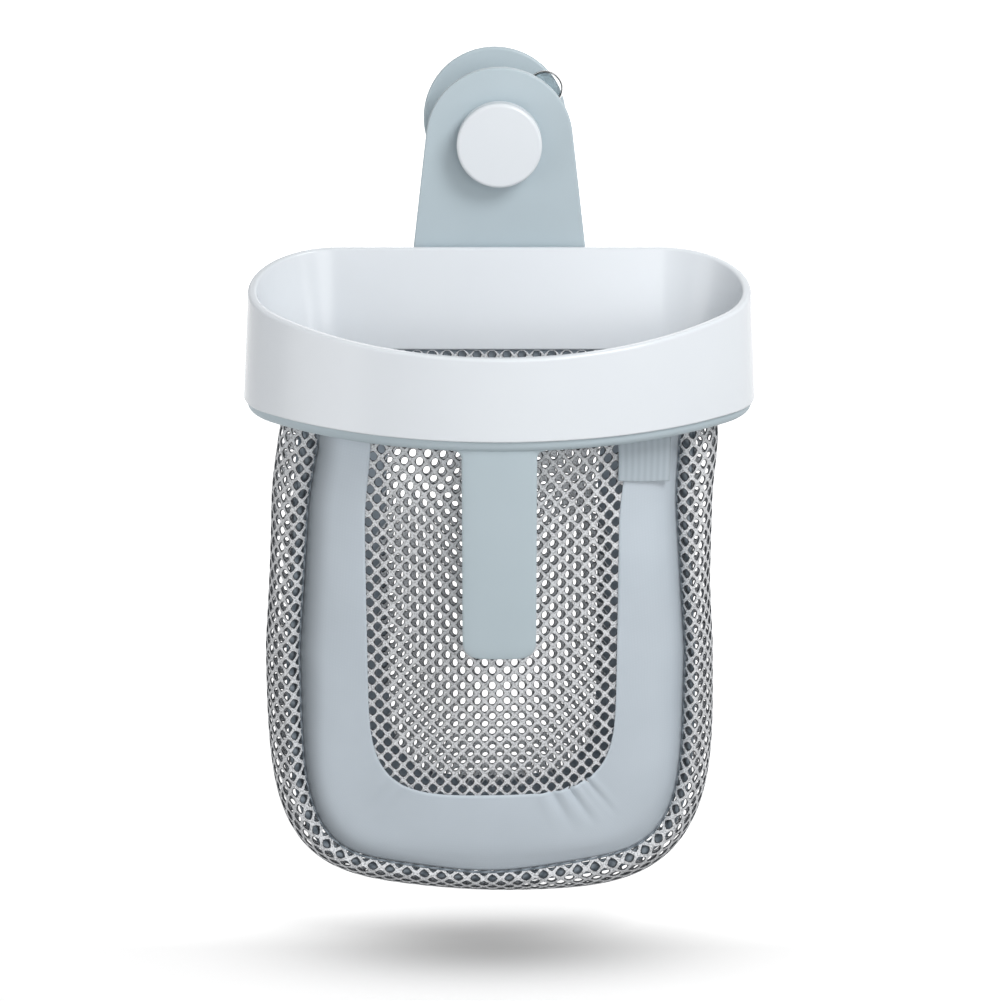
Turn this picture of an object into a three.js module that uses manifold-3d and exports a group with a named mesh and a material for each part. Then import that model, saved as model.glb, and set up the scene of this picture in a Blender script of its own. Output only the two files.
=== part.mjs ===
// Wall-hung bath toy scoop: a rigid oval rim and frame carry a mesh bag, and the frame's hanger
// plate is clamped by a thumb nut to the stud of a suction cup that sticks to a wall disc.
// Millimetres, +Z up, +Y into the wall; the origin is the middle of the disc's wall face.

import * as THREE from 'three';
import { mergeVertices } from 'three/addons/utils/BufferGeometryUtils.js';
import Module from 'manifold-3d';

const wasm = await Module();
wasm.setup();

// Running gap between neighbouring pieces, and the facets of one full turn.
const GAP = 0.3;
const TURN_FACETS = 40;
const MERGE_STEP = 1e-4;

// How far in the middle of a quarter-round edge lies, as a share of its radius.
const ROUND_MIDDLE = 1 - Math.SQRT1_2;

// Wall disc and the foam pad that glues it on.
const PAD_INSET = 2.5;
const PAD_THICK = 1;
const DISC_RADIUS = 33.5;
const DISC_THICK = 3;
const DISC_EDGE = 1.1;

// The cup is pressed on a little off the disc's middle, to the right and low.
const AXIS_X = 2.2;
const AXIS_Z = -5.5;

// Suction cup, measured outward from its lip.
const CUP_RADIUS = 27.5;
const CUP_LIP = 2;
const CUP_LIP_THICK = 1.6;
const CUP_HOLLOW = 5.5;
const CUP_HOLLOW_MID_RADIUS = 14;
const CUP_HOLLOW_MID = 4;
const CUP_DOME_MID_RADIUS = 15;
const CUP_DOME_MID = 8;
const CUP_NECK_BASE = 12.5;
const CUP_NECK_WALL = 1.7;
const CUP_HEIGHT = 20.8;

// Pull tab on the cup's lip, pointing up and to the right.
const TAB_HALF_WIDTH = 8.5;
const TAB_LENGTH = 10;
const TAB_BITE = 1.6;
const TAB_THICK = 1.6;
const TAB_ANGLE = THREE.MathUtils.degToRad(43);

// Threaded stud with a flat head held in the cup's neck.
const STUD_RADIUS = 3;
const STUD_HEAD_RADIUS = 6;
const STUD_HEAD_THICK = 2.2;
const STUD_HEAD_COVER = 6.9;
const STUD_ENGAGED = 6.7;
const STUD_END_GAP = 0.4;

// Hanger plate: a round-topped taper with the stud hole on the circle's middle.
const PLATE_THICK = 4;
const PLATE_TOP_RADIUS = 34;
const PLATE_FOOT_HALF = 48;
const PLATE_BEVEL = 0.8;
const PLATE_HOLE_PLAY = 0.5;
const PLATE_HOLE_HEIGHT = 109.2;

// Washer and thumb nut in front of the plate.
const WASHER_RADIUS = 8;
const WASHER_THICK = 1;
const KNOB_RADIUS = 19.6;
const KNOB_THICK = 7.7;
const KNOB_EDGE = 1.4;
const KNOB_BOSS_RADIUS = 10;
const KNOB_BOSS = 2;

// Plan of the rim: straight back, two corner arcs, two side arcs and one broad front arc.
const RIM_HALF_WIDTH = 117.5;
const RIM_DEPTH = 112;
const RIM_CORNER = 42.5;
const RIM_SIDE_ARC = 37.5;
const RIM_STATIONS = 96;

// Rim heights, draft and wall of its hollow section.
const RIM_BACK_HEIGHT = 60.5;
const RIM_FRONT_HEIGHT = 37;
const RIM_DRAFT = 3.5;
const RIM_WALL = 2.5;
const RIM_LIP = 4.6;
const RIM_LIP_ROUND = 1.7;
const RIM_LIP_DROP = 6;
const RIM_SKIRT_COVER = 0.2;

// Frame ring under the rim, with an upstand inside the rim's section.
const RING_OUTER = 3.5;
const RING_INNER = 14.6;
const RING_FOOT = -5.5;
const RING_EDGE = 1.2;
const UPSTAND_WALL = 2.4;
const UPSTAND_CLEAR = 1;

// Front grip hanging from the ring.
const GRIP_HALF_WIDTH = 16.6;
const GRIP_THICK = 5;
const GRIP_LENGTH = 96.5;
const GRIP_FILLET = 3.8;
const GRIP_ROUND = 5.5;
const GRIP_END_THICK = 3;
const GRIP_SQUARENESS = 5;
const GRIP_FACETS = 28;
const GRIP_END_STEPS = 5;

// Bag: its top edge inside the rim, its bottom seam, and the thickness of its cloths.
const BAG_TOP = 13;
const BAG_FOOT = -231;
const MESH_THICK = 1.2;
const CLOTH_THICK = 1;
const HEM_THICK = 1.2;
const HEM_TUCK = 1.5;
const SEAM_RADIUS = 0.6;
const SEAM_CLEAR = 1.3;
const SEAM_FACETS = 3;

// How far the bag's walls lean in by the bottom, and how the front wall flattens there.
const FRONT_LEAN = 25;
const BACK_LEAN = 19;
const LEAN_EASE = 1.2;
const FRONT_FOOT_RADIUS = 500;

// Seams lie inside the bag's sides, and the gusset between them swells outward.
const SEAM_INSET = 13.7;
const SEAM_BELLY = 3.7;
const SEAM_ROUND = 111;
const SEAM_SQUARENESS = 4.6;
const SWELL_TOP = 13;
const SWELL_FOOT = 18;

// Cloth trims between the seam and the mesh windows: width at the top, sides and bottom.
const FRONT_TRIM = { top: 29.3, side: 32.7, foot: 46, round: 60 };
const BACK_TRIM = { top: 36.8, side: 40, foot: 33, round: 68 };
const WINDOW_SQUARENESS = 4;
const WINDOW_LAST_ANGLE = THREE.MathUtils.degToRad(85);

// Grids of the cloth pieces, and the share of an outline that each straight side takes.
const OUTLINE_STEPS = 44;
const STRAIGHT_SHARE = 0.28;
const TRIM_STEPS = 4;
const GUSSET_STEPS = 8;

// A plain grid of openings stands for the fine mesh of the windows: how many, and their share.
const WINDOW_OPENINGS_DOWN = 12;
const WINDOW_OPENINGS_ACROSS = 8;
const OPENING_SHARE = 0.65;

// Blank sewn tag on the front trim, at its upper right.
const TAG_OVERHANG = 1.5;
const TAG_WIDTH = 21;
const TAG_DROP = 2.5;
const TAG_HEIGHT = 18.5;
const TAG_THICK = 0.6;
const TAG_STEPS = 4;

// Distances from the wall, all toward the front (minus Y).
const discBack = PAD_THICK + GAP;
const cupLip = discBack + DISC_THICK + GAP;
const studHead = cupLip + CUP_HEIGHT - STUD_HEAD_COVER - STUD_HEAD_THICK;
const plateBack = cupLip + CUP_HEIGHT + GAP;
const plateFront = plateBack + PLATE_THICK;
const washerBack = plateFront + GAP;
const knobBack = washerBack + WASHER_THICK + GAP;
const rimBack = plateFront + GAP;

// Insets from the rim's outer wall, and outlines in front view: straight sides, squared oval below.
const bagInset = RING_INNER + 2 * GAP + HEM_THICK + MESH_THICK / 2;
const skirtInner = bagInset + MESH_THICK / 2 + RIM_SKIRT_COVER;
const skirtFoot = BAG_TOP + GAP;
const seamTopHalf = RIM_HALF_WIDTH - bagInset - SEAM_INSET;
const seamLine = {
  topHalf: seamTopHalf,
  half: seamTopHalf + SEAM_BELLY,
  middle: BAG_FOOT + SEAM_ROUND,
  foot: BAG_FOOT,
  square: SEAM_SQUARENESS,
};
const windowIn = (trim) => ({
  topHalf: seamLine.topHalf - trim.top,
  half: seamLine.half - trim.side,
  middle: BAG_FOOT + trim.foot + trim.round,
  foot: BAG_FOOT + trim.foot,
  square: WINDOW_SQUARENESS,
});
const frontWindow = windowIn(FRONT_TRIM);
const backWindow = windowIn(BACK_TRIM);

const lerp = THREE.MathUtils.lerp;
const up = (values) => values.map(([x, y, z]) => new THREE.Vector3(x, y, z));

// Turns a point list and triangles into a closed body whose faces look outward.
function body(points, triangles) {
  const positions = new Float32Array(points.flatMap((p) => [p.x, p.y, p.z]));
  let volume = 0;
  for (const [a, b, c] of triangles) {
    volume += points[a].dot(points[b].clone().cross(points[c]));
  }
  const outward = volume < 0 ? triangles.map(([a, b, c]) => [a, c, b]) : triangles;
  const geometry = new THREE.BufferGeometry();
  geometry.setAttribute('position', new THREE.BufferAttribute(positions, 3));
  geometry.setIndex(outward.flat());
  return weld(geometry);
}

// Joins equal corners and drops triangles that have no area.
function weld(geometry) {
  geometry.deleteAttribute('normal');
  geometry.deleteAttribute('uv');
  const merged = mergeVertices(geometry, MERGE_STEP);
  const old = merged.index.array;
  const kept = [];
  for (let i = 0; i < old.length; i += 3) {
    const [a, b, c] = old.slice(i, i + 3);
    if (a !== b && b !== c && c !== a) kept.push(a, b, c);
  }
  merged.setIndex(kept);
  merged.computeVertexNormals();
  return merged;
}

function toManifold(geometry) {
  const vertProperties = new Float32Array(geometry.attributes.position.array);
  const triVerts = new Uint32Array(geometry.index.array);
  return new wasm.Manifold(new wasm.Mesh({ numProp: 3, vertProperties, triVerts }));
}

// Joins overlapping closed bodies into one.
function joined(...geometries) {
  const [first, ...rest] = geometries.map(toManifold);
  const mesh = rest.reduce((sum, next) => sum.add(next), first).getMesh();
  const geometry = new THREE.BufferGeometry();
  geometry.setAttribute('position', new THREE.BufferAttribute(mesh.vertProperties, 3));
  geometry.setIndex([...mesh.triVerts]);
  return weld(geometry);
}

// Skins a row of equal loops: round and back to the first one, or capped at both ends.
function skinned(loops, closed) {
  const count = loops[0].length;
  const points = loops.flat();
  const triangles = [];
  const bands = closed ? loops.length : loops.length - 1;
  for (let i = 0; i < bands; i += 1) {
    const here = i * count;
    const next = ((i + 1) % loops.length) * count;
    for (let j = 0; j < count; j += 1) {
      const k = (j + 1) % count;
      triangles.push([here + j, next + j, next + k], [here + j, next + k, here + k]);
    }
  }
  if (!closed) {
    const last = (loops.length - 1) * count;
    for (let j = 1; j < count - 1; j += 1) {
      triangles.push([0, j, j + 1], [last, last + j + 1, last + j]);
    }
  }
  return body(points, triangles);
}

// Evenly spaced grid lines from 0 to 1, and lines that take turns as a thread and an opening.
const even = (count) => Array.from({ length: count + 1 }, (_, i) => i / count);
function threaded(openings) {
  const thread = 1 - OPENING_SHARE;
  const starts = Array.from({ length: openings + 1 }, (_, i) => i);
  return starts.flatMap((i) => [i, i + thread]).map((spot) => spot / (openings + thread));
}

// A cloth of even thickness over the surface point(u, v) between the given grid lines. Cells for
// which open(i, j) holds are left out.
function cloth(point, us, vs, thickness, open = () => false) {
  const step = 1e-3;
  const front = [];
  const back = [];
  for (const u of us) {
    for (const v of vs) {
      const along = point(Math.min(u + step, 1), v).sub(point(Math.max(u - step, 0), v));
      const across = point(u, Math.min(v + step, 1)).sub(point(u, Math.max(v - step, 0)));
      const offset = along.cross(across).setLength(thickness / 2);
      front.push(point(u, v).add(offset));
      back.push(point(u, v).sub(offset));
    }
  }
  const rows = us.length - 1;
  const columns = vs.length - 1;
  const half = front.length;
  const triangles = [];
  const quad = (a, b, c, d) => triangles.push([a, b, c], [a, c, d]);
  const kept = (i, j) => i >= 0 && i < rows && j >= 0 && j < columns && !open(i, j);
  for (let i = 0; i < rows; i += 1) {
    for (let j = 0; j < columns; j += 1) {
      if (!kept(i, j)) continue;
      const a = i * vs.length + j;
      const b = a + vs.length;
      quad(a, b, b + 1, a + 1);
      quad(half + a, half + a + 1, half + b + 1, half + b);
      if (!kept(i, j - 1)) quad(a, half + a, half + b, b);
      if (!kept(i, j + 1)) quad(a + 1, b + 1, half + b + 1, half + a + 1);
      if (!kept(i - 1, j)) quad(a, a + 1, half + a + 1, half + a);
      if (!kept(i + 1, j)) quad(b, half + b, half + b + 1, b + 1);
    }
  }
  return body(front.concat(back), triangles);
}

// Turns a profile of (radius, distance from the wall) about the stud's axis or the disc's.
function turned(profile, x, z) {
  const points = profile.map(([radius, out]) => new THREE.Vector2(radius, out));
  const geometry = weld(new THREE.LatheGeometry(points, TURN_FACETS));
  return geometry.rotateX(Math.PI).translate(x, 0, z);
}

// Extrudes a front-view shape from the given distance toward the front.
function pressed(shape, start, thickness, bevel) {
  const geometry = new THREE.ExtrudeGeometry(shape, {
    depth: thickness - 2 * bevel,
    bevelEnabled: bevel > 0,
    bevelThickness: bevel,
    bevelSize: bevel,
    bevelOffset: -bevel,
    bevelSegments: 2,
    curveSegments: TURN_FACETS / 2,
  });
  return weld(geometry.translate(0, 0, start + bevel).rotateX(Math.PI / 2));
}

// Plan of the rim as points with outward normals, from the back's middle round by the left.
const frontArc = (() => {
  const run = RIM_DEPTH - RIM_CORNER;
  const wide = RIM_HALF_WIDTH ** 2 + run ** 2 - 2 * RIM_HALF_WIDTH * RIM_SIDE_ARC;
  return wide / (2 * (run - RIM_SIDE_ARC));
})();
const frontArcMiddle = frontArc - RIM_DEPTH;
const plan = (() => {
  const flat = RIM_HALF_WIDTH - RIM_CORNER;
  const side = RIM_HALF_WIDTH - RIM_SIDE_ARC;
  const turn = Math.atan2(-RIM_CORNER - frontArcMiddle, side);
  const path = new THREE.Path();
  path.moveTo(0, 0);
  path.lineTo(-flat, 0);
  path.absarc(-flat, -RIM_CORNER, RIM_CORNER, Math.PI / 2, Math.PI, false);
  path.absarc(-side, -RIM_CORNER, RIM_SIDE_ARC, Math.PI, Math.PI - turn, false);
  path.absarc(0, frontArcMiddle, frontArc, -Math.PI - turn, turn, false);
  path.absarc(side, -RIM_CORNER, RIM_SIDE_ARC, turn, 0, false);
  path.absarc(flat, -RIM_CORNER, RIM_CORNER, 0, Math.PI / 2, false);
  path.lineTo(0, 0);
  const spots = path.getSpacedPoints(RIM_STATIONS).slice(0, RIM_STATIONS);
  return spots.map((spot, i) => {
    const before = spots[(i + RIM_STATIONS - 1) % RIM_STATIONS];
    const after = spots[(i + 1) % RIM_STATIONS];
    const run = after.clone().sub(before).normalize();
    return { x: spot.x, y: spot.y, nx: run.y, ny: -run.x };
  });
})();

// Sweeps a section of (inset, height) pairs round the plan.
function round(section) {
  const loops = plan.map((spot) => section(spot.y).map(([inset, z]) => new THREE.Vector3(
    spot.x - inset * spot.nx,
    spot.y - inset * spot.ny,
    z,
  )));
  return skinned(loops, true);
}

const rimHeight = (y) => lerp(RIM_BACK_HEIGHT, RIM_FRONT_HEIGHT, -y / RIM_DEPTH);
const rimSection = (y) => {
  const top = rimHeight(y);
  const inner = RIM_DRAFT + RIM_LIP;
  return [
    [RIM_WALL, 0],
    [0, 0],
    [RIM_DRAFT, top - RIM_LIP_ROUND],
    [RIM_DRAFT + RIM_LIP_ROUND * ROUND_MIDDLE, top - RIM_LIP_ROUND * ROUND_MIDDLE],
    [RIM_DRAFT + RIM_LIP_ROUND, top],
    [inner - RIM_LIP_ROUND, top],
    [inner - RIM_LIP_ROUND * ROUND_MIDDLE, top - RIM_LIP_ROUND * ROUND_MIDDLE],
    [inner, top - RIM_LIP_ROUND],
    [skirtInner, skirtFoot],
    [skirtInner - RIM_WALL, skirtFoot],
    [inner - RIM_WALL / 2, top - RIM_LIP_DROP],
    [RIM_DRAFT + RIM_WALL, top - RIM_LIP_DROP],
  ];
};

const upstandTop = BAG_TOP - UPSTAND_CLEAR;
const ringSection = () => [
  [RING_OUTER, -GAP],
  [RING_OUTER, RING_FOOT + RING_EDGE],
  [RING_OUTER + RING_EDGE, RING_FOOT],
  [RING_INNER, RING_FOOT],
  [RING_INNER, upstandTop],
  [RING_INNER - UPSTAND_WALL, upstandTop],
  [RING_INNER - UPSTAND_WALL, -GAP],
];

const hemSection = () => [
  [RING_INNER + GAP, RING_FOOT + HEM_TUCK],
  [RING_INNER + GAP, BAG_TOP - GAP],
  [RING_INNER + GAP + HEM_THICK, BAG_TOP - GAP],
  [RING_INNER + GAP + HEM_THICK, RING_FOOT + HEM_TUCK],
];

// Hanger plate with its foot carried forward to the ring.
const plateShape = (() => {
  const drop = PLATE_HOLE_HEIGHT - RING_FOOT;
  const away = Math.hypot(PLATE_FOOT_HALF, drop);
  const swing = Math.atan2(PLATE_FOOT_HALF, drop) + Math.acos(PLATE_TOP_RADIUS / away) - Math.PI / 2;
  const shape = new THREE.Shape();
  shape.moveTo(-PLATE_FOOT_HALF, RING_FOOT);
  shape.lineTo(PLATE_FOOT_HALF, RING_FOOT);
  shape.absarc(0, PLATE_HOLE_HEIGHT, PLATE_TOP_RADIUS, swing, Math.PI - swing, false);
  shape.closePath();
  const hole = new THREE.Path();
  hole.absarc(0, PLATE_HOLE_HEIGHT, STUD_RADIUS + PLATE_HOLE_PLAY + PLATE_BEVEL, 0, 2 * Math.PI, true);
  shape.holes.push(hole);
  return shape;
})();
const webShape = (() => {
  const shape = new THREE.Shape();
  shape.moveTo(-PLATE_FOOT_HALF + PLATE_BEVEL, RING_FOOT + PLATE_BEVEL);
  shape.lineTo(PLATE_FOOT_HALF - PLATE_BEVEL, RING_FOOT + PLATE_BEVEL);
  shape.lineTo(PLATE_FOOT_HALF - PLATE_BEVEL, -GAP);
  shape.lineTo(-PLATE_FOOT_HALF + PLATE_BEVEL, -GAP);
  shape.closePath();
  return shape;
})();

// Front grip: rounded sections down the front, flared into the ring and round at the foot.
function gripBody() {
  const arc = frontArc - RING_OUTER;
  const sag = (x) => arc - Math.sqrt(arc ** 2 - x ** 2);
  const front = -RIM_DEPTH + RING_OUTER;
  const levels = [];
  levels.push([-GAP - RING_EDGE, GRIP_HALF_WIDTH + GRIP_FILLET, GRIP_THICK]);
  for (let i = 0; i <= GRIP_END_STEPS; i += 1) {
    const fall = GRIP_FILLET * (1 - Math.cos((i / GRIP_END_STEPS) * Math.PI / 2));
    const rest = GRIP_FILLET - Math.sqrt(GRIP_FILLET ** 2 - (GRIP_FILLET - fall) ** 2);
    levels.push([RING_FOOT - fall, GRIP_HALF_WIDTH + rest, GRIP_THICK]);
  }
  for (let i = 0; i <= GRIP_END_STEPS; i += 1) {
    const angle = (i / GRIP_END_STEPS) * Math.PI / 2;
    const half = GRIP_HALF_WIDTH - GRIP_ROUND * (1 - Math.cos(angle));
    const thick = lerp(GRIP_END_THICK, GRIP_THICK, Math.cos(angle));
    levels.push([RING_FOOT - GRIP_LENGTH + GRIP_ROUND * (1 - Math.sin(angle)), half, thick]);
  }
  const loops = levels.map(([z, half, thick]) => {
    const loop = [];
    for (let i = 0; i < GRIP_FACETS; i += 1) {
      const angle = (i / GRIP_FACETS) * 2 * Math.PI;
      const power = 2 / GRIP_SQUARENESS;
      const x = half * Math.sign(Math.cos(angle)) * Math.abs(Math.cos(angle)) ** power;
      const y = (thick / 2) * Math.sign(Math.sin(angle)) * Math.abs(Math.sin(angle)) ** power;
      loop.push([x, front + GRIP_THICK / 2 + y + sag(x), z]);
    }
    return up(loop);
  });
  return skinned(loops, false);
}

// How far down the free bag a height lies: 0 at the ring's foot, 1 at the bottom seam.
const fall = (z) => Math.max(0, (RING_FOOT - z) / (RING_FOOT - BAG_FOOT)) ** LEAN_EASE;

function frontWall(x, z) {
  const share = fall(z);
  const bend = lerp(1 / (frontArc - bagInset), 1 / FRONT_FOOT_RADIUS, share);
  const middle = bagInset - RIM_DEPTH + FRONT_LEAN * share;
  return middle + (1 - Math.sqrt(1 - (bend * x) ** 2)) / bend;
}

function backWall(x, z) {
  const share = fall(z);
  const past = Math.max(0, Math.abs(x) - RIM_HALF_WIDTH + RIM_CORNER);
  const corner = RIM_CORNER - bagInset;
  const bow = corner - Math.sqrt(corner ** 2 - past ** 2);
  return -bagInset - BACK_LEAN * share - bow * (1 - share);
}

// A front-view outline from the top left, down, along the bottom and up to the top right.
function outline(line, s) {
  const side = s < 0.5 ? -1 : 1;
  const share = Math.min(s, 1 - s) / STRAIGHT_SHARE;
  if (share < 1) {
    const x = side * lerp(line.topHalf, line.half, share);
    return new THREE.Vector2(x, lerp(BAG_TOP, line.middle, share));
  }
  const angle = ((s - STRAIGHT_SHARE) / (1 - 2 * STRAIGHT_SHARE)) * Math.PI;
  const power = 2 / line.square;
  const x = -line.half * Math.sign(Math.cos(angle)) * Math.abs(Math.cos(angle)) ** power;
  const drop = (line.middle - line.foot) * Math.abs(Math.sin(angle)) ** power;
  return new THREE.Vector2(x, line.middle - drop);
}

// Outward direction of the seam outline in front view.
function outward(s) {
  const step = 2e-3;
  const run = outline(seamLine, Math.min(s + step, 1)).sub(outline(seamLine, Math.max(s - step, 0)));
  return new THREE.Vector2(run.y, -run.x).normalize();
}

const onWall = (wall, spot) => new THREE.Vector3(spot.x, wall(spot.x, spot.y), spot.y);

// Cloth border between the seam and a window, starting clear of the seam cord.
function trimPoint(wall, window) {
  return (s, v) => {
    const from = outline(seamLine, s);
    const to = outline(window, s);
    const start = SEAM_CLEAR / from.distanceTo(to);
    const end = 1 - GAP / from.distanceTo(to);
    return onWall(wall, from.lerp(to, lerp(start, end, v)));
  };
}

// Mesh inside a window: rows follow the straight sides and then the squared oval, whose angle grows
// with a power of u that keeps the rows about even.
function windowPoint(wall, line) {
  const share = (line.middle - BAG_TOP) / (line.foot - BAG_TOP);
  return (u, v) => {
    let half = lerp(line.topHalf, line.half, Math.min(u / share, 1));
    let z = lerp(BAG_TOP, line.middle, Math.min(u / share, 1));
    if (u > share) {
      const angle = ((u - share) / (1 - share)) ** (line.square / 2) * WINDOW_LAST_ANGLE;
      half = line.half * Math.cos(angle) ** (2 / line.square);
      z = line.middle - (line.middle - line.foot) * Math.sin(angle) ** (2 / line.square);
    }
    return onWall(wall, new THREE.Vector2((half - GAP) * (2 * v - 1), z));
  };
}

// Mesh gusset from the front seam round to the back seam, swelling outward between them.
function gussetPoint(s, v) {
  const spot = outline(seamLine, s);
  const front = frontWall(spot.x, spot.y);
  const back = backWall(spot.x, spot.y);
  const most = lerp(SWELL_TOP, SWELL_FOOT, fall(spot.y));
  const start = SEAM_CLEAR / Math.hypot(back - front, 4 * most);
  const t = lerp(start, 1 - start, v);
  const swell = most * 4 * t * (1 - t);
  const away = outward(s);
  const z = spot.y + Math.min(away.y, 0) * swell;
  return new THREE.Vector3(spot.x + away.x * swell, lerp(front, back, t), z);
}

// Seam cord along the outline on one wall.
function seamCord(wall) {
  const spots = [];
  for (let i = 0; i <= OUTLINE_STEPS; i += 1) {
    spots.push(onWall(wall, outline(seamLine, i / OUTLINE_STEPS)));
  }
  const circle = new THREE.Shape();
  circle.absarc(0, 0, SEAM_RADIUS, 0, 2 * Math.PI, false);
  return weld(new THREE.ExtrudeGeometry(circle, {
    steps: OUTLINE_STEPS,
    curveSegments: SEAM_FACETS,
    extrudePath: new THREE.CatmullRomCurve3(spots),
  }));
}

// Blank tag lying just in front of the trim.
function tagPoint(u, v) {
  const x = frontWindow.topHalf - TAG_OVERHANG + TAG_WIDTH * v;
  const z = RING_FOOT - TAG_DROP - TAG_HEIGHT * u;
  const clear = CLOTH_THICK / 2 + TAG_THICK / 2 + 2 * GAP;
  return new THREE.Vector3(x, frontWall(x, z) - clear, z);
}

const neckRadius = STUD_HEAD_RADIUS + GAP + CUP_NECK_WALL;
const cupProfile = [
  [0, cupLip + CUP_HOLLOW],
  [CUP_HOLLOW_MID_RADIUS, cupLip + CUP_HOLLOW_MID],
  [CUP_RADIUS - CUP_LIP, cupLip],
  [CUP_RADIUS, cupLip],
  [CUP_RADIUS, cupLip + CUP_LIP_THICK],
  [CUP_DOME_MID_RADIUS, cupLip + CUP_DOME_MID],
  [neckRadius, cupLip + CUP_NECK_BASE],
  [neckRadius, cupLip + CUP_HEIGHT],
  [STUD_RADIUS + GAP, cupLip + CUP_HEIGHT],
  [STUD_RADIUS + GAP, studHead + STUD_HEAD_THICK + GAP],
  [STUD_HEAD_RADIUS + GAP, studHead + STUD_HEAD_THICK + GAP],
  [STUD_HEAD_RADIUS + GAP, studHead - GAP],
  [0, studHead - GAP],
];
const tabShape = (() => {
  const shape = new THREE.Shape();
  const root = CUP_RADIUS - TAB_BITE;
  const reach = CUP_RADIUS + TAB_LENGTH - TAB_HALF_WIDTH;
  shape.moveTo(root, -TAB_HALF_WIDTH);
  shape.lineTo(reach, -TAB_HALF_WIDTH);
  shape.absarc(reach, 0, TAB_HALF_WIDTH, -Math.PI / 2, Math.PI / 2, false);
  shape.lineTo(root, TAB_HALF_WIDTH);
  shape.closePath();
  return shape;
})();
const tabBody = pressed(tabShape, cupLip, TAB_THICK, 0)
  .rotateY(-TAB_ANGLE)
  .translate(AXIS_X, 0, AXIS_Z);

const studProfile = [
  [0, studHead],
  [STUD_HEAD_RADIUS, studHead],
  [STUD_HEAD_RADIUS, studHead + STUD_HEAD_THICK],
  [STUD_RADIUS, studHead + STUD_HEAD_THICK],
  [STUD_RADIUS, knobBack + STUD_ENGAGED],
  [0, knobBack + STUD_ENGAGED],
];

const washerProfile = [
  [STUD_RADIUS + GAP, washerBack],
  [WASHER_RADIUS, washerBack],
  [WASHER_RADIUS, washerBack + WASHER_THICK],
  [STUD_RADIUS + GAP, washerBack + WASHER_THICK],
  [STUD_RADIUS + GAP, washerBack],
];

const knobFace = KNOB_BOSS + KNOB_THICK;
const knobProfile = [
  [0, STUD_ENGAGED + STUD_END_GAP],
  [STUD_RADIUS + GAP, STUD_ENGAGED + STUD_END_GAP],
  [STUD_RADIUS + GAP, 0],
  [KNOB_BOSS_RADIUS, 0],
  [KNOB_BOSS_RADIUS, KNOB_BOSS],
  [KNOB_RADIUS - KNOB_EDGE / 2, KNOB_BOSS],
  [KNOB_RADIUS, KNOB_BOSS + KNOB_EDGE / 2],
  [KNOB_RADIUS, knobFace - KNOB_EDGE],
  [KNOB_RADIUS - KNOB_EDGE * ROUND_MIDDLE, knobFace - KNOB_EDGE * ROUND_MIDDLE],
  [KNOB_RADIUS - KNOB_EDGE, knobFace],
  [0, knobFace],
].map(([radius, out]) => [radius, out + knobBack]);

const padRadius = DISC_RADIUS - PAD_INSET;
const padProfile = [[0, 0], [padRadius, 0], [padRadius, PAD_THICK], [0, PAD_THICK]];
const discProfile = [
  [0, 0],
  [DISC_RADIUS, 0],
  [DISC_RADIUS, DISC_THICK - DISC_EDGE],
  [DISC_RADIUS - DISC_EDGE * ROUND_MIDDLE, DISC_THICK - DISC_EDGE * ROUND_MIDDLE],
  [DISC_RADIUS - DISC_EDGE, DISC_THICK],
  [0, DISC_THICK],
].map(([radius, out]) => [radius, out + discBack]);

const frameBody = () => {
  const plate = pressed(plateShape, -PLATE_THICK - GAP, PLATE_THICK, PLATE_BEVEL);
  const web = pressed(webShape, -GAP - PLATE_THICK / 2, PLATE_THICK / 2 + 2 * RING_OUTER, 0);
  return joined(round(ringSection), plate, web, gripBody());
};

// Colours and finishes of the mouldings and cloths.
const grey = { color: 0xb6c4cb, roughness: 0.5, metalness: 0 };
const white = { color: 0xe9eef3, roughness: 0.4, metalness: 0 };
const meshCloth = { color: 0xa3abb2, roughness: 0.9, metalness: 0 };
const satinCloth = { color: 0xb3bfc8, roughness: 0.7, metalness: 0 };
const clearVinyl = { color: 0xdde4e8, roughness: 0.15, metalness: 0, transparent: true, opacity: 0.5 };
const foam = { color: 0xf2f2f0, roughness: 0.95, metalness: 0 };
const plated = { color: 0xc9ccd0, roughness: 0.3, metalness: 1 };
const nylon = { color: 0xd9dcde, roughness: 0.5, metalness: 0 };

const part = new THREE.Group();
part.name = 'bath_toy_scoop';

function add(name, geometry, finish) {
  const mesh = new THREE.Mesh(geometry, new THREE.MeshStandardMaterial(finish));
  mesh.name = name;
  part.add(mesh);
}

// The scoop is made round its own rim and then set in front of the wall below the stud.
function addScoop(name, geometry, finish) {
  add(name, geometry.translate(AXIS_X, -rimBack, AXIS_Z - PLATE_HOLE_HEIGHT), finish);
}

add('adhesive_pad', turned(padProfile, 0, 0), foam);
add('wall_disc', turned(discProfile, 0, 0), grey);
add('suction_cup', joined(turned(cupProfile, AXIS_X, AXIS_Z), tabBody), clearVinyl);
add('cup_stud', turned(studProfile, AXIS_X, AXIS_Z), plated);
add('knob_washer', turned(washerProfile, AXIS_X, AXIS_Z), nylon);
add('lock_knob', turned(knobProfile, AXIS_X, AXIS_Z), white);

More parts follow.
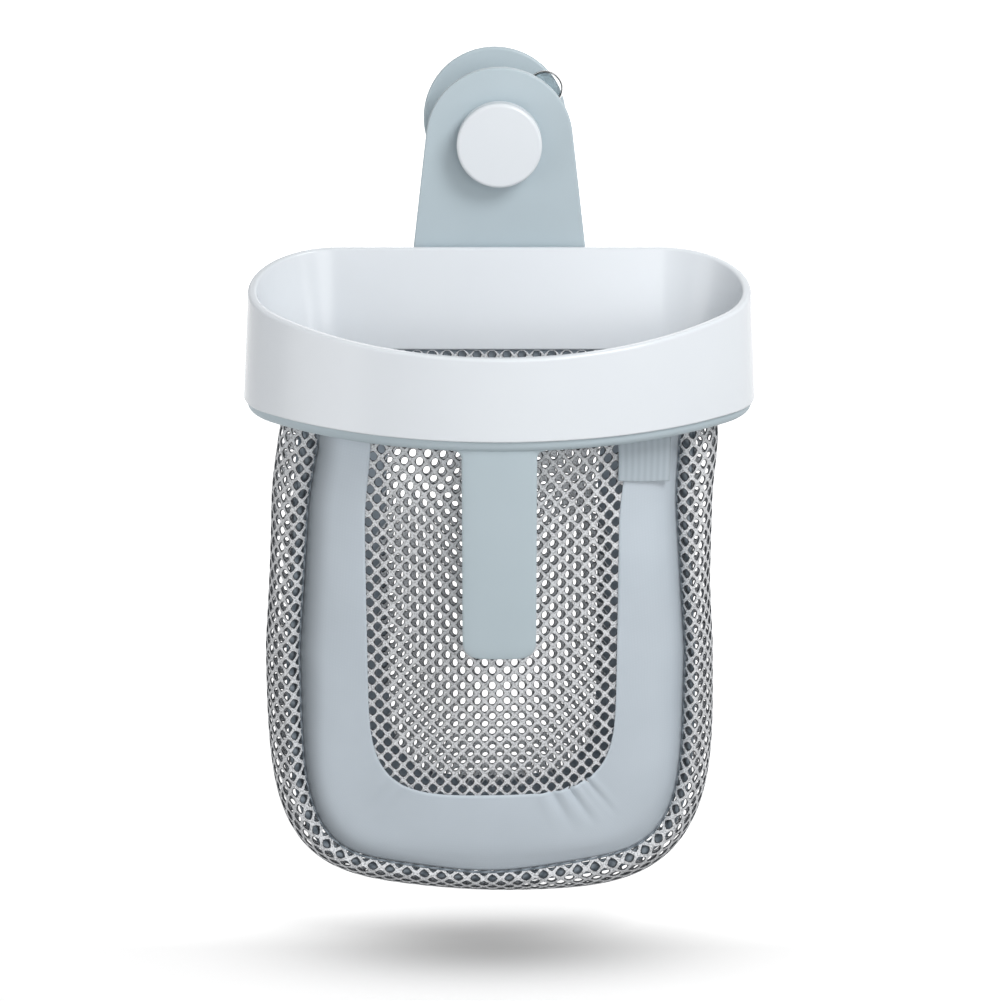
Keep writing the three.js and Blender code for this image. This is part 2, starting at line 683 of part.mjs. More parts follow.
// Trims and gusset are plain cloths, the windows are openwork between threads.
const outlineLines = even(OUTLINE_STEPS);
const trimmed = (wall, window) => cloth(trimPoint(wall, window), outlineLines, even(TRIM_STEPS), CLOTH_THICK);
const netted = (wall, window) => cloth(
  windowPoint(wall, window),
  threaded(WINDOW_OPENINGS_DOWN),
  threaded(WINDOW_OPENINGS_ACROSS),
  MESH_THICK,
  (i, j) => i % 2 === 1 && j % 2 === 1,
);
addScoop('frame', frameBody(), grey);
addScoop('rim', round(rimSection), white);
addScoop('hem_tape', round(hemSection), satinCloth);
addScoop('front_mesh', netted(frontWall, frontWindow), meshCloth);
addScoop('front_trim', trimmed(frontWall, frontWindow), satinCloth);
addScoop('side_mesh', cloth(gussetPoint, outlineLines, even(GUSSET_STEPS), MESH_THICK), meshCloth);
addScoop('back_mesh', netted(backWall, backWindow), meshCloth);
addScoop('back_trim', trimmed(backWall, backWindow), satinCloth);
addScoop('front_seam', seamCord(frontWall), satinCloth);
addScoop('back_seam', seamCord(backWall), satinCloth);
addScoop('blank_tag', cloth(tagPoint, even(TAG_STEPS), even(TAG_STEPS), TAG_THICK), satinCloth);

export default part;
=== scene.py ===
"""Wall-hung bath toy scoop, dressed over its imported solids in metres: +Z up, +Y into the wall.

The sections follow the scoop as it is put together, from the wall outward.
"""

import bmesh
import bpy
import numpy as np
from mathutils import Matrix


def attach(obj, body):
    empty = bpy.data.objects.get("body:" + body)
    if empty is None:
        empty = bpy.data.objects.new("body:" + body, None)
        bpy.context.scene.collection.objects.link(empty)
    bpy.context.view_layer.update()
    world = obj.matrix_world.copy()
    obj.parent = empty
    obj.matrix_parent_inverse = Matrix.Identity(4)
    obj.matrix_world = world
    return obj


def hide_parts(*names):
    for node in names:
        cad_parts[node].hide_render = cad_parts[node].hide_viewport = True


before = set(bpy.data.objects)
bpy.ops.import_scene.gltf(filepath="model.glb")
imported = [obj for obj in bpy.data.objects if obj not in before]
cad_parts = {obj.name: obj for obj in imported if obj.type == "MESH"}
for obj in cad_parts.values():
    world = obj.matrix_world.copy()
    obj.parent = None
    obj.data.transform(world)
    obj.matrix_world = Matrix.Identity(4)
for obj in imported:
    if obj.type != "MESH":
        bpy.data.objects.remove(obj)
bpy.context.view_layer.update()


# Wall disc and foam pad. The disc is a flat round of pale grey ABS, injection moulded, its edge rounded
# so that no dirt gathers there. A slightly smaller pad of white foam tape glues it to the tiles.


def linear(colour):
    """sRGB hex to linear light: c / 12.92 in the dark toe, and above it ((c + 0.055) / 1.055) ^ 2.4."""
    c = np.array([int(colour[i : i + 2], 16) for i in (1, 3, 5)]) / 255
    c = np.where(c <= 0.04045, c / 12.92, ((c + 0.055) / 1.055) ** 2.4)
    return (*c.tolist(), 1.0)


def node(material, kind, inputs=None, **settings):
    """Adds one shader node: settings are its options, inputs are numbers to set or sockets to link."""
    made = material.node_tree.nodes.new("ShaderNode" + kind)
    for option, value in settings.items():
        setattr(made, option, value)
    for name, value in (inputs or {}).items():
        if isinstance(value, bpy.types.NodeSocket):
            material.node_tree.links.new(value, made.inputs[name])
        else:
            made.inputs[name].default_value = value
    return made


def blank(name):
    """A material with an empty node tree."""
    made = bpy.data.materials.new(name)
    made.use_nodes = True
    made.node_tree.nodes.clear()
    return made


def rounded(corners, radii, steps=6):
    """Closed outline with tangent arcs at its corners: an arc's middle lies radius / sin(half the corner's
    angle) along the corner's bisector. One more point a margin beyond each end of an arc keeps the flats
    beside it flat."""
    margin = 0.12
    corners = np.asarray(corners, float)
    to_last = np.roll(corners, 1, -2) - corners
    to_next = np.roll(corners, -1, -2) - corners
    to_last /= np.linalg.norm(to_last, axis=-1, keepdims=True)
    to_next /= np.linalg.norm(to_next, axis=-1, keepdims=True)
    half = np.arccos((to_last * to_next).sum(-1, keepdims=True)) / 2
    radius = np.asarray(radii, float)[:, None]
    bisector = (to_last + to_next) / np.linalg.norm(to_last + to_next, axis=-1, keepdims=True)
    middle = corners + bisector * radius / np.sin(half)
    start = corners + to_last * radius / np.tan(half)
    end = corners + to_next * radius / np.tan(half)
    t = np.linspace(0, 1, steps + 1)[:, None]
    turn = (np.pi - 2 * half)[..., None, :]
    to_start, to_end = (start - middle)[..., None, :], (end - middle)[..., None, :]
    arc = np.sin((1 - t) * turn) * to_start + np.sin(t * turn) * to_end
    arc = middle[..., None, :] + arc / np.sin(turn)
    before = (start + margin * to_last)[..., None, :]
    after = (end + margin * to_next)[..., None, :]
    whole = np.concatenate([before, arc, after], -2)
    return whole.reshape(*corners.shape[:-2], -1, 2)


def turned(profile, centre, facets=112):
    """A profile of (radius, distance from the wall) carried round an axis that is square to the wall:
    x = cx + r cos t, y = -distance, z = cz + r sin t."""
    t = np.linspace(0, 2 * np.pi, facets, endpoint=False)
    r, out = profile[:, 0, None], profile[:, 1, None]
    return np.stack([centre[0] + r * np.cos(t), 0 * t - out, centre[1] + r * np.sin(t)], -1)


def shell(grid, wrap=(False, True)):
    """Points in mm and the quads between neighbours; wrap joins the last row or column to the first."""
    rows, columns = grid.shape[:2]
    i = np.arange(rows if wrap[0] else rows - 1)[:, None]
    j = np.arange(columns if wrap[1] else columns - 1)[None, :]
    below, right = (i + 1) % rows, (j + 1) % columns
    quads = [i * columns + j, below * columns + j, below * columns + right, i * columns + right]
    return grid.reshape(-1, 3), np.stack(quads, -1).reshape(-1, 4)


def piece(name, shells, material, closed=True, uv=None, sharp=40):
    """One object from shells of points in mm and quads, made metres. Points that fall together, as at a pole,
    become one, and a closed shell's faces are turned outward. uv holds two numbers for each face corner."""
    first = np.cumsum([0] + [len(points) for points, _ in shells])
    points = np.concatenate([points for points, _ in shells]) / 1000
    quads = np.concatenate([faces + start for (_, faces), start in zip(shells, first)])
    mesh = bpy.data.meshes.new(name)
    mesh.from_pydata(points.tolist(), [], quads.tolist())
    if uv is not None:
        mesh.uv_layers.new(name="cloth").data.foreach_set("uv", uv.astype(np.float32).ravel())
    work = bmesh.new()
    work.from_mesh(mesh)
    bmesh.ops.remove_doubles(work, verts=work.verts, dist=1e-7)
    bmesh.ops.dissolve_degenerate(work, edges=work.edges, dist=1e-8)
    if closed:
        bmesh.ops.recalc_face_normals(work, faces=work.faces)
    work.to_mesh(mesh)
    work.free()
    mesh.shade_smooth()
    mesh.set_sharp_from_angle(angle=np.radians(sharp))
    mesh.materials.append(material)
    made = bpy.data.objects.new(name, mesh)
    bpy.context.scene.collection.objects.link(made)
    return made


# Satin ABS: an even pale grey with the soft gloss of a spark-eroded mould. The grain of 0.1 mm is too fine to
# show and is drawn at 0.7 mm; a broad cloud of 45 mm is the slight unevenness of the colour.
grey_abs = blank("satin_grey_abs")
place = node(grey_abs, "TexCoord")
cloud = node(grey_abs, "TexNoise", {"Vector": place.outputs["Object"], "Scale": 1 / 0.045, "Detail": 2.0})
# A colour mix takes its share in socket 0 and its two colours in 6 and 7, and gives the mix in output 2.
shades = {0: cloud.outputs["Fac"], 6: linear("#b8c7ce"), 7: linear("#c0ced5")}
tone = node(grey_abs, "Mix", shades, data_type="RGBA")
grain = node(grey_abs, "TexNoise", {"Vector": place.outputs["Object"], "Scale": 1 / 0.0007, "Detail": 3.0})
dull = node(
    grey_abs,
    "MapRange",
    {"Value": grain.outputs["Fac"], "From Min": 0.3, "From Max": 0.7, "To Min": 0.4, "To Max": 0.52},
)
relief = node(grey_abs, "Bump", {"Height": grain.outputs["Fac"], "Strength": 0.12, "Distance": 0.0001})
surface = node(
    grey_abs,
    "BsdfPrincipled",
    {
        "Base Color": tone.outputs[2],
        "Roughness": dull.outputs[0],
        "Normal": relief.outputs[0],
        "IOR": 1.52,
    },
)
node(grey_abs, "OutputMaterial", {"Surface": surface.outputs[0]})

disc_radius, disc_back, disc_front = 33.5, 1.3, 4.3
disc_corners = [[0, disc_back], [disc_radius, disc_back], [disc_radius, disc_front], [0, disc_front]]
disc = turned(rounded(disc_corners, [0, 0.4, 1.1, 0]), (0, 0), facets=144)
wall_disc = piece("disc_moulding", [shell(disc)], grey_abs)
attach(wall_disc, "wall_mount")
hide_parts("wall_disc")

# Closed-cell foam tape: matt white, with cells of about 0.6 mm that pit its cut edge.
white_foam = blank("closed_cell_foam_tape")
place = node(white_foam, "TexCoord")
cells = node(white_foam, "TexVoronoi", {"Vector": place.outputs["Object"], "Scale": 1 / 0.0006})
shades = {0: cells.outputs["Distance"], 6: linear("#dfe0de"), 7: linear("#f4f4f2")}
tone = node(white_foam, "Mix", shades, data_type="RGBA")
relief = node(white_foam, "Bump", {"Height": cells.outputs["Distance"], "Strength": 0.5, "Distance": 0.0002})
surface = node(
    white_foam,
    "BsdfPrincipled",
    {"Base Color": tone.outputs[2], "Normal": relief.outputs[0], "Roughness": 0.95},
)
node(white_foam, "OutputMaterial", {"Surface": surface.outputs[0]})

pad_radius, pad_thick = 31, 1
pad_corners = [[0, 0], [pad_radius, 0], [pad_radius, pad_thick], [0, pad_thick]]
pad = turned(rounded(pad_corners, [0, 0.15, 0.15, 0]), (0, 0))
foam_pad = piece("foam_pad", [shell(pad)], white_foam)
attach(foam_pad, "wall_mount")
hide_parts("adhesive_pad")


# Suction cup with its pull tab, moulded in one from clear soft vinyl. The lip lies on the disc, the neck
# swallows the stud's head, and the tab at the upper right lifts the lip to let the cup go.
stud_axis = (2.2, -5.5)


def slab(outline, hole, near, far, edge, steps=5):
    """A plate of outline (x, z), anticlockwise, between two y: rows run from the hole over the near face,
    round a quarter arc of radius edge, down the side, round the other arc and back to the hole. Insets follow
    the normal."""
    margin = 0.2
    run = np.roll(outline, -1, 0) - np.roll(outline, 1, 0)
    run /= np.linalg.norm(run, axis=1, keepdims=True)
    normal = np.stack([run[:, 1], -run[:, 0]], 1)
    arc = np.linspace(0, np.pi / 2, steps + 1)
    inset = np.concatenate([[edge + margin], edge * (1 - np.sin(arc))])
    depth = np.concatenate([[0], edge * (1 - np.cos(arc))])
    inset = np.concatenate([inset, inset[::-1]])[:, None]
    y = np.concatenate([near + np.sign(far - near) * depth, far - np.sign(far - near) * depth[::-1]])[:, None]
    x, z = outline[:, 0] - inset * normal[:, 0], outline[:, 1] - inset * normal[:, 1]
    side = np.stack([x, y + 0 * x, z], -1)
    rim_of_hole = np.stack([hole[:, 0], 0 * hole[:, 0], hole[:, 1]], -1)[None]
    return np.concatenate([rim_of_hole + [0, near, 0], side, rim_of_hole + [0, far, 0]]), inset[:, 0]


def face_corners(at):
    """Spreads a pair of numbers for each point of a grid over the corners of its faces."""
    return np.stack([at[:-1, :-1], at[1:, :-1], at[1:, 1:], at[:-1, 1:]], 2).reshape(-1, 4, 2)


def corner_map(rows, columns):
    """The map of a plain grid: each face corner takes its row's and column's number, in millimetres."""
    return face_corners(np.stack(np.meshgrid(rows, columns, indexing="ij"), -1))


# Clear vinyl: water-clear and slightly blue, glossy, softly uneven over some 6 mm as a flexible moulding is.
# Half of the light goes straight through it, so that it hardly shades the disc. Within a millimetre of an
# edge
# its colour goes near black: a smoky tint seen along the vinyl, darkened into painted shade for the dark
# outline that refraction gives at the tab's edge. The map's second number is the distance from an edge in mm.
clear_vinyl = blank("clear_soft_vinyl")
place = node(clear_vinyl, "TexCoord")
swirl = node(clear_vinyl, "TexNoise", {"Vector": place.outputs["Object"], "Scale": 1 / 0.006, "Detail": 1.0})
relief = node(clear_vinyl, "Bump", {"Height": swirl.outputs["Fac"], "Strength": 0.15, "Distance": 0.0004})
lay = node(clear_vinyl, "UVMap", uv_map="cloth")
inset = node(clear_vinyl, "SeparateXYZ", {"Vector": lay.outputs["UV"]})
# Painted shade at the edge: the colour goes near black where the inset is under 1 mm.
smoke_and_edge_shade = node(clear_vinyl, "MapRange", {"Value": inset.outputs["Y"], "From Min": 0.8, "From Max": 1.05})
shades = {0: smoke_and_edge_shade.outputs[0], 6: linear("#161b1f"), 7: linear("#e6eff2")}
tone = node(clear_vinyl, "Mix", shades, data_type="RGBA")
thin = node(clear_vinyl, "MapRange", {"Value": smoke_and_edge_shade.outputs[0], "To Min": 1.0, "To Max": 0.45})
surface = node(
    clear_vinyl,
    "BsdfPrincipled",
    {
        "Base Color": tone.outputs[2],
        "Alpha": thin.outputs[0],
        "Normal": relief.outputs[0],
        "Roughness": 0.07,
        "IOR": 1.53,
        "Transmission Weight": 1.0,
    },
)
node(clear_vinyl, "OutputMaterial", {"Surface": surface.outputs[0]})

# Corners of (radius, distance from the wall) and their rounding: the hollow from its middle to the lip, the
# dome and the neck outside, and the bore and the pocket that hold the stud.
lip_back, lip_front, lip_radius = 4.6, 6.2, 27.5
hollow = [[0, 10.1], [14, 8.6], [lip_radius - 2, lip_back]]
dome = [[lip_radius, lip_back], [lip_radius, lip_front], [15, 12.6], [8, 17.1], [8, 25.4]]
pocket = [[3.3, 25.4], [3.3, 18.8], [6.3, 18.8], [6.3, 16], [0, 16]]
cup_rounds = [0, 8, 0.3, 0.5, 0.5, 12, 3, 0.6, 0.4, 0.2, 0.3, 0.3, 0]
cup = turned(rounded(hollow + dome + pocket, cup_rounds), stud_axis)
tab_root, tab_end, tab_half = 26, 37.5, 8.5
tab_corners = [[tab_root, -tab_half], [tab_end, -tab_half], [tab_end, tab_half], [tab_root, tab_half]]
tab_flat = rounded(tab_corners, [0.4, 8.2, 8.2, 0.4], steps=20)
tab_angle = np.radians(43)
tilt = np.array([[np.cos(tab_angle), np.sin(tab_angle)], [-np.sin(tab_angle), np.cos(tab_angle)]])
tab_outline = tab_flat @ tilt + stud_axis
tab_middle = np.array([[30.0, 0.0]]) @ tilt + stud_axis
tab, tab_inset = slab(tab_outline, np.repeat(tab_middle, len(tab_outline), 0), -lip_front, -lip_back, 0.9)
far_in = 8.0
tab_inset = np.concatenate([[far_in], tab_inset, [far_in]])
cup_map = corner_map(np.full(cup.shape[0], far_in), np.arange(cup.shape[1] + 1))[..., ::-1]
tab_map = corner_map(tab_inset, np.arange(tab.shape[1] + 1))[..., ::-1]
suction_cup = piece("vinyl_cup", [shell(cup), shell(tab)], clear_vinyl, uv=np.concatenate([cup_map, tab_map]))
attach(suction_cup, "cup")
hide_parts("suction_cup")


# Stud. A steel screw with a flat round head that the cup's neck holds; the shank is a rolled M6 thread, 1 mm
# a turn, plated with bright zinc: a cool grey metal whose gloss is mottled over a millimetre or so.
zinc_steel = blank("zinc_plated_steel")
place = node(zinc_steel, "TexCoord")
spangle = node(
    zinc_steel,
    "TexNoise",
    {"Vector": place.outputs["Object"], "Scale": 1 / 0.0012, "Detail": 3.0},
)
dull = node(zinc_steel, "MapRange", {"Value": spangle.outputs["Fac"], "To Min": 0.2, "To Max": 0.42})
shades = {0: spangle.outputs["Fac"], 6: linear("#b9bec4"), 7: linear("#d6dade")}
tone = node(zinc_steel, "Mix", shades, data_type="RGBA")
surface = node(
    zinc_steel,
    "BsdfPrincipled",
    {"Base Color": tone.outputs[2], "Roughness": dull.outputs[0], "Metallic": 1.0},
)
node(zinc_steel, "OutputMaterial", {"Surface": surface.outputs[0]})


def threaded(head, shank, facets=40):
    """A head's profile and then a shank whose radius falls by a triangle wave of distance / pitch less turns,
    so that the groove climbs one pitch a turn; it fades out over the last pitch at both ends."""
    radius, start, end, pitch, deep = shank
    out = np.linspace(start, end, int((end - start) / pitch * 10) + 1)[:, None]
    t = np.linspace(0, 2 * np.pi, facets, endpoint=False)
    wave = np.abs(2 * ((out / pitch - t / (2 * np.pi)) % 1) - 1)
    fade = np.clip(np.minimum(out - start, end - out) / pitch, 0, 1)
    r = radius - deep * wave * fade
    rod = np.stack([stud_axis[0] + r * np.cos(t), 0 * t - out, stud_axis[1] + r * np.sin(t)], -1)
    tip = turned(np.array([[0, end]]), stud_axis, facets)
    return np.concatenate([turned(head, stud_axis, facets), rod, tip])


# Corners of the head as (radius, distance from the wall); the shank's radius, start, end, pitch and groove.
stud_head = np.array([[0, 16.3], [5.7, 16.3], [6, 16.6], [6, 18.2], [5.7, 18.5], [3, 18.5]])
stud_shank = (3, 18.5, 38, 1, 0.55)
cup_stud = piece("threaded_stud", [shell(threaded(stud_head, stud_shank))], zinc_steel, sharp=50)
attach(cup_stud, "cup")
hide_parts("cup_stud")


# Frame. One grey ABS moulding: the round-topped hanger plate, the ring that runs under the rim with an
# upstand inside it, and the flat grip that hangs from the ring's front and takes four fingers.
scoop_origin = np.array([2.2, -30.0, -114.7])
hole_height = 109.2
ring_foot = -5.5


def arc_points(middle, radius, start, end, count):
    """Points of an arc in front view, from one angle to another."""
    t = np.linspace(start, end, count)
    return np.stack([middle[0] + radius * np.cos(t), middle[1] + radius * np.sin(t)], 1)


# The plate's sides are the tangents from its foot corners to the top circle.
foot_half, top_radius, hole_radius = 48.0, 34.0, 3.5
drop = hole_height - ring_foot
swing = np.arctan2(foot_half, drop) + np.arccos(top_radius / np.hypot(foot_half, drop)) - np.pi / 2
crown = arc_points((0, hole_height), top_radius, swing, np.pi - swing, 97)
foot = np.array([[-foot_half, ring_foot], [foot_half, ring_foot]])
plate_outline = np.concatenate(
    [
        crown,
        np.linspace(crown[-1], foot[0], 40)[1:-1],
        np.linspace(foot[0], foot[1], 40),
        np.linspace(foot[1], crown[0], 40)[1:-1],
    ]
)
bearing = np.arctan2(plate_outline[:, 1] - hole_height, plate_outline[:, 0])
stud_hole = np.stack([hole_radius * np.cos(bearing), hole_height + hole_radius * np.sin(bearing)], 1)
plate, _ = slab(plate_outline, stud_hole, near=0.3, far=4.3, edge=0.8)

# A web carries the plate's foot forward to the ring.
web_half, web_low, web_high = 47, -4.8, -0.4
web_corners = [[-web_half, web_low], [web_half, web_low], [web_half, web_high], [-web_half, web_high]]
web_outline = rounded(web_corners, [0.5] * 4, steps=3)
web_middle = np.repeat([[0, (web_low + web_high) / 2]], len(web_outline), 0)
web, _ = slab(web_outline, web_middle, near=-6.5, far=2.3, edge=0.3)

# Plan of the rim: each station is a middle point, a radius and an angle, so an inset only shortens the
# radius. The back is straight, and arcs follow round its corners, its sides and its broad front. Each row has
# the middle's x from and to, its y, the radius, the angle from and to, and the count of stations.
straight_half, side_half, front_y = 75, 80, 41.5
corner_radius, side_radius, front_radius = 42.5, 37.5, 153.5
back, left, turn = np.pi / 2, np.pi, 2 * np.pi
lean = np.arctan2(front_y + corner_radius, side_half)
stretches = np.array(
    [
        [straight_half, -straight_half, -corner_radius, corner_radius, back, back, 60],
        [-straight_half, -straight_half, -corner_radius, corner_radius, back, left, 60],
        [-side_half, -side_half, -corner_radius, side_radius, left, left + lean, 30],
        [0, 0, front_y, front_radius, left + lean, turn - lean, 160],
        [side_half, side_half, -corner_radius, side_radius, turn - lean, turn, 30],
        [straight_half, straight_half, -corner_radius, corner_radius, turn, turn + back, 60],
    ]
)
count = stretches[:, 6].astype(int)
share = (np.arange(count.sum()) - np.repeat(np.cumsum(count) - count, count)) / np.repeat(count, count)
station = np.repeat(stretches, count, 0)
plan_x = station[:, 0] + (station[:, 1] - station[:, 0]) * share
plan_y, plan_radius = station[:, 2], station[:, 3]
plan_angle = station[:, 4] + (station[:, 5] - station[:, 4]) * share
rim_y = plan_y + plan_radius * np.sin(plan_angle)


def swept(section):
    """A section of (inset, height) carried round the rim's plan: each point lies at the station's middle plus
    (radius - inset) along its angle."""
    inset, height = np.broadcast_to(section, (len(plan_x), *section.shape[-2:])).transpose(2, 0, 1)
    reach = plan_radius[:, None] - inset
    x = plan_x[:, None] + reach * np.cos(plan_angle)[:, None]
    y = plan_y[:, None] + reach * np.sin(plan_angle)[:, None]
    return np.stack([x, y, height], -1)


# Corners of (inset, height): the ring's outer face and foot, then the upstand's two faces.
ring_top, upstand_top = -0.3, 12
outer_face, upstand_back, upstand_front = 1.5, 12.2, 14.6
ring_corners = np.array(
    [
        [outer_face, ring_top],
        [outer_face, ring_foot],
        [upstand_front, ring_foot],
        [upstand_front, upstand_top],
        [upstand_back, upstand_top],
        [upstand_back, ring_top],
    ]
)
ring = swept(rounded(ring_corners, [0.2, 4.0, 0.8, 0.5, 0.5, 0.6], steps=6))


def grip_sections(half, thick, length, fillet, end_round):
    """Squared-oval sections down the grip: half-widths flare into the ring on a quarter circle, run straight,
    and draw in round the foot on another, with both ends closed. Each point is pushed back by the sagitta of
    the ring's front arc."""
    front, ring_radius, thinned, power = -108.5, 150, 1.6, 0.4
    quarter = np.linspace(0, np.pi / 2, 9)
    flare = fillet * (1 - np.sqrt(1 - np.cos(quarter) ** 2))
    top = ring_foot + 4
    z = np.concatenate([[top, top], ring_foot - fillet * (1 - np.cos(quarter)), [ring_foot - 0.8 * length]])
    wide = np.concatenate([[0, half + fillet], half + flare, [half]])
    deep = np.where(wide > 0, thick, 0)
    foot_z = ring_foot - length + end_round * (1 - np.sin(quarter))
    foot_wide = half - end_round * (1 - np.cos(quarter))
    foot_deep = thick - thinned * (1 - np.cos(quarter))
    z = np.concatenate([z, foot_z, foot_z[-1:]])[:, None]
    wide = np.concatenate([wide, foot_wide, [0]])[:, None]
    deep = np.concatenate([deep, foot_deep, [0]])[:, None]
    t = np.linspace(0, 2 * np.pi, 88, endpoint=False)
    x = wide * np.sign(np.cos(t)) * np.abs(np.cos(t)) ** power
    y = front + thick / 2 + deep / 2 * np.sign(np.sin(t)) * np.abs(np.sin(t)) ** power
    return np.stack([x, y + ring_radius - np.sqrt(ring_radius**2 - x**2), z + 0 * x], -1)


grip = grip_sections(half=16.6, thick=5.0, length=98.6, fillet=3.8, end_round=7.0)
frame_parts = [
    shell(plate + scoop_origin, (True, True)),
    shell(web + scoop_origin),
    shell(ring + scoop_origin, (True, True)),
    shell(grip + scoop_origin),
]
frame_moulding = piece("frame_moulding", frame_parts, grey_abs, sharp=35)
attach(frame_moulding, "scoop")
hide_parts("frame")


# Rim. A hollow oval scoop edge moulded in white polypropylene, 60 mm tall at the back and 37 mm at the front,
# with a rounded lip. Its inner skirt presses over the bag's hem and the frame's upstand.

# White polypropylene: a cool white with a soft gloss, slightly uneven over some 70 mm.
white_pp = blank("white_polypropylene")
place = node(white_pp, "TexCoord")
cloud = node(white_pp, "TexNoise", {"Vector": place.outputs["Object"], "Scale": 1 / 0.07, "Detail": 2.0})
shades = {0: cloud.outputs["Fac"], 6: linear("#e6ebf1"), 7: linear("#ebf0f4")}
tone = node(white_pp, "Mix", shades, data_type="RGBA")
# Cooling leaves a faint orange peel about 5 mm wide, and its gloss varies a little with it.
peel = node(white_pp, "TexNoise", {"Vector": place.outputs["Object"], "Scale": 1 / 0.005, "Detail": 2.0})
dull = node(white_pp, "MapRange", {"Value": peel.outputs["Fac"], "To Min": 0.2, "To Max": 0.28})
relief = node(white_pp, "Bump", {"Height": peel.outputs["Fac"], "Strength": 0.06, "Distance": 0.0003})
surface = node(
    white_pp,
    "BsdfPrincipled",
    {
        "Base Color": tone.outputs[2],
        "Roughness": dull.outputs[0],
        "Normal": relief.outputs[0],
        "IOR": 1.49,
    },
)
node(white_pp, "OutputMaterial", {"Surface": surface.outputs[0]})

back_height, front_height, rim_depth = 60.5, 37, 112
rim_top = back_height + (front_height - back_height) * -rim_y / rim_depth

# Corners of (inset, height): outer foot, lip, skirt's foot and the hollow's upper end. Those that rise are
# measured from the rim's top at their station.
lip_outer, lip_inner, skirt_foot, hollow_top = 3.5, 7.1, 14.3, -6
outside = [[2.5, 0], [0, 0], [lip_outer, 0], [lip_inner, 0]]
skirt = [[17.8, skirt_foot], [15.3, skirt_foot], [6.85, hollow_top], [6, hollow_top]]
rim_corners = np.array(outside + skirt)
rises = np.array([0, 0, 1, 1, 0, 0, 1, 1])
rim_section = np.repeat(rim_corners[None], len(rim_top), 0)
rim_section[..., 1] += rises * rim_top[:, None]
rim_grid = swept(rounded(rim_section, [0.3, 0.8, 1.5, 1.5, 0.7, 0.4, 0.3, 0.3], steps=6))
rim = piece("rim_moulding", [shell(rim_grid + scoop_origin, (True, True))], white_pp)
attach(rim, "scoop")
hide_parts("rim")


# Hem tape. A polyester tape sewn round the mouth of the bag, gripped between the ring's upstand and the rim's
# skirt. It shows through the back net below the skirt and along its lower edge, in the darker copy of the
# satin, whose dark is painted shade.

# Satin polyester: a smooth pale blue-grey lining cloth with a soft sheen. Its threads of 0.2 mm are too fine
# to show and are drawn at 0.7 mm, on the cloth's own map, which is in millimetres along and across from the
# seam. Over the last 14 mm towards the seam the colour is darkened: painted shade where the cloth rolls into
# the seam. A wave's bands are about w wide at a scale of 1 / (2 pi w).
satin = blank("satin_polyester")
lay = node(satin, "UVMap", uv_map="cloth")
even = {"Scale": 1 / (0.7 * 2 * np.pi), "Distortion": 0.6, "Detail": 1.0, "Detail Scale": 2.0}
warp = node(satin, "TexWave", {"Vector": lay.outputs["UV"], **even}, bands_direction="X")
weft = node(satin, "TexWave", {"Vector": lay.outputs["UV"], **even}, bands_direction="Y")
weave = node(satin, "Math", {0: warp.outputs["Fac"], 1: weft.outputs["Fac"]}, operation="MULTIPLY")
place = node(satin, "TexCoord")
cloud = node(satin, "TexNoise", {"Vector": place.outputs["Object"], "Scale": 1 / 0.03, "Detail": 3.0})
shades = {0: cloud.outputs["Fac"], 6: linear("#c8d3dc"), 7: linear("#d4dee7")}
tone = node(satin, "Mix", shades, data_type="RGBA")
threads = node(satin, "MapRange", {"Value": weave.outputs[0], "To Min": 0.985, "To Max": 1.01})
across = node(satin, "SeparateXYZ", {"Vector": lay.outputs["UV"]})
# Painted shade: the cloth's colour falls to 0.42 at the seam and is full again 14 mm away.
painted_seam_shade = node(
    satin,
    "MapRange",
    {"Value": across.outputs["Y"], "From Max": 14.0, "To Min": 0.42, "To Max": 1.0},
    interpolation_type="SMOOTHSTEP",
)
threads = node(satin, "Math", {0: threads.outputs[0], 1: painted_seam_shade.outputs[0]}, operation="MULTIPLY")
cloth_tone = node(
    satin,
    "Mix",
    {0: 1.0, 6: tone.outputs[2], 7: threads.outputs[0]},
    data_type="RGBA",
    blend_type="MULTIPLY",
)
relief = node(satin, "Bump", {"Height": weave.outputs[0], "Strength": 0.06, "Distance": 0.0002})
surface = node(
    satin,
    "BsdfPrincipled",
    {
        "Base Color": cloth_tone.outputs[2],
        "Normal": relief.outputs[0],
        "Roughness": 0.55,
        "Sheen Weight": 0.25,
        "Sheen Roughness": 0.4,
    },
)
node(satin, "OutputMaterial", {"Surface": surface.outputs[0]})

# A darker copy of the same cloth: painted shade for the dim inside of the bag, which shows as a dark band
# through the front window.
painted_shade_satin = satin.copy()
painted_shade_satin.name = "satin_darkened_painted_shade"
painted_shade_tone = painted_shade_satin.node_tree.nodes[tone.name]
painted_shade_tone.inputs[6].default_value = linear("#909aa4")
painted_shade_tone.inputs[7].default_value = linear("#9ca6b0")

# The hem's map starts 20 mm from a seam, past the painted seam shade, and ends once round its section.
hem_length, map_start, map_end = 482, 20, 57
hem_back, hem_face, hem_low, hem_high = 14.9, 16.1, -4, 13.9
hem_corners = [[hem_back, hem_low], [hem_back, hem_high], [hem_face, hem_high], [hem_face, hem_low]]
hem_grid = swept(rounded(hem_corners, [0.5] * 4, steps=3))
hem_grid = np.concatenate([hem_grid, hem_grid[:1]])
hem_grid = np.concatenate([hem_grid, hem_grid[:, :1]], 1) + scoop_origin
hem_along = np.linspace(0, hem_length, hem_grid.shape[0])
hem_map = corner_map(hem_along, np.linspace(map_start, map_end, hem_grid.shape[1]))
# The hem tape wears the darker copy of the satin: painted shade.
hem_tape = piece("hem_tape_sewn", [shell(hem_grid, (False, False))], painted_shade_satin, uv=hem_map)
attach(hem_tape, "scoop")
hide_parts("hem_tape")


# Bag nets. Front window, back window and the gusset that runs down one side, under the bag and up the other
# are cut from one warp-knitted polyester net: oval holes on a diagonal lattice, each ringed by a thread a
# millimetre thick.
bag_top, bag_foot, bag_inset = 13.0, -231.0, 17


def fall(z):
    """The share of the free bag above a height, from 0 at the ring's foot to 1 at the bottom seam, ^ 1.2."""
    return np.clip((ring_foot - z) / (ring_foot - bag_foot), 0, None) ** 1.2


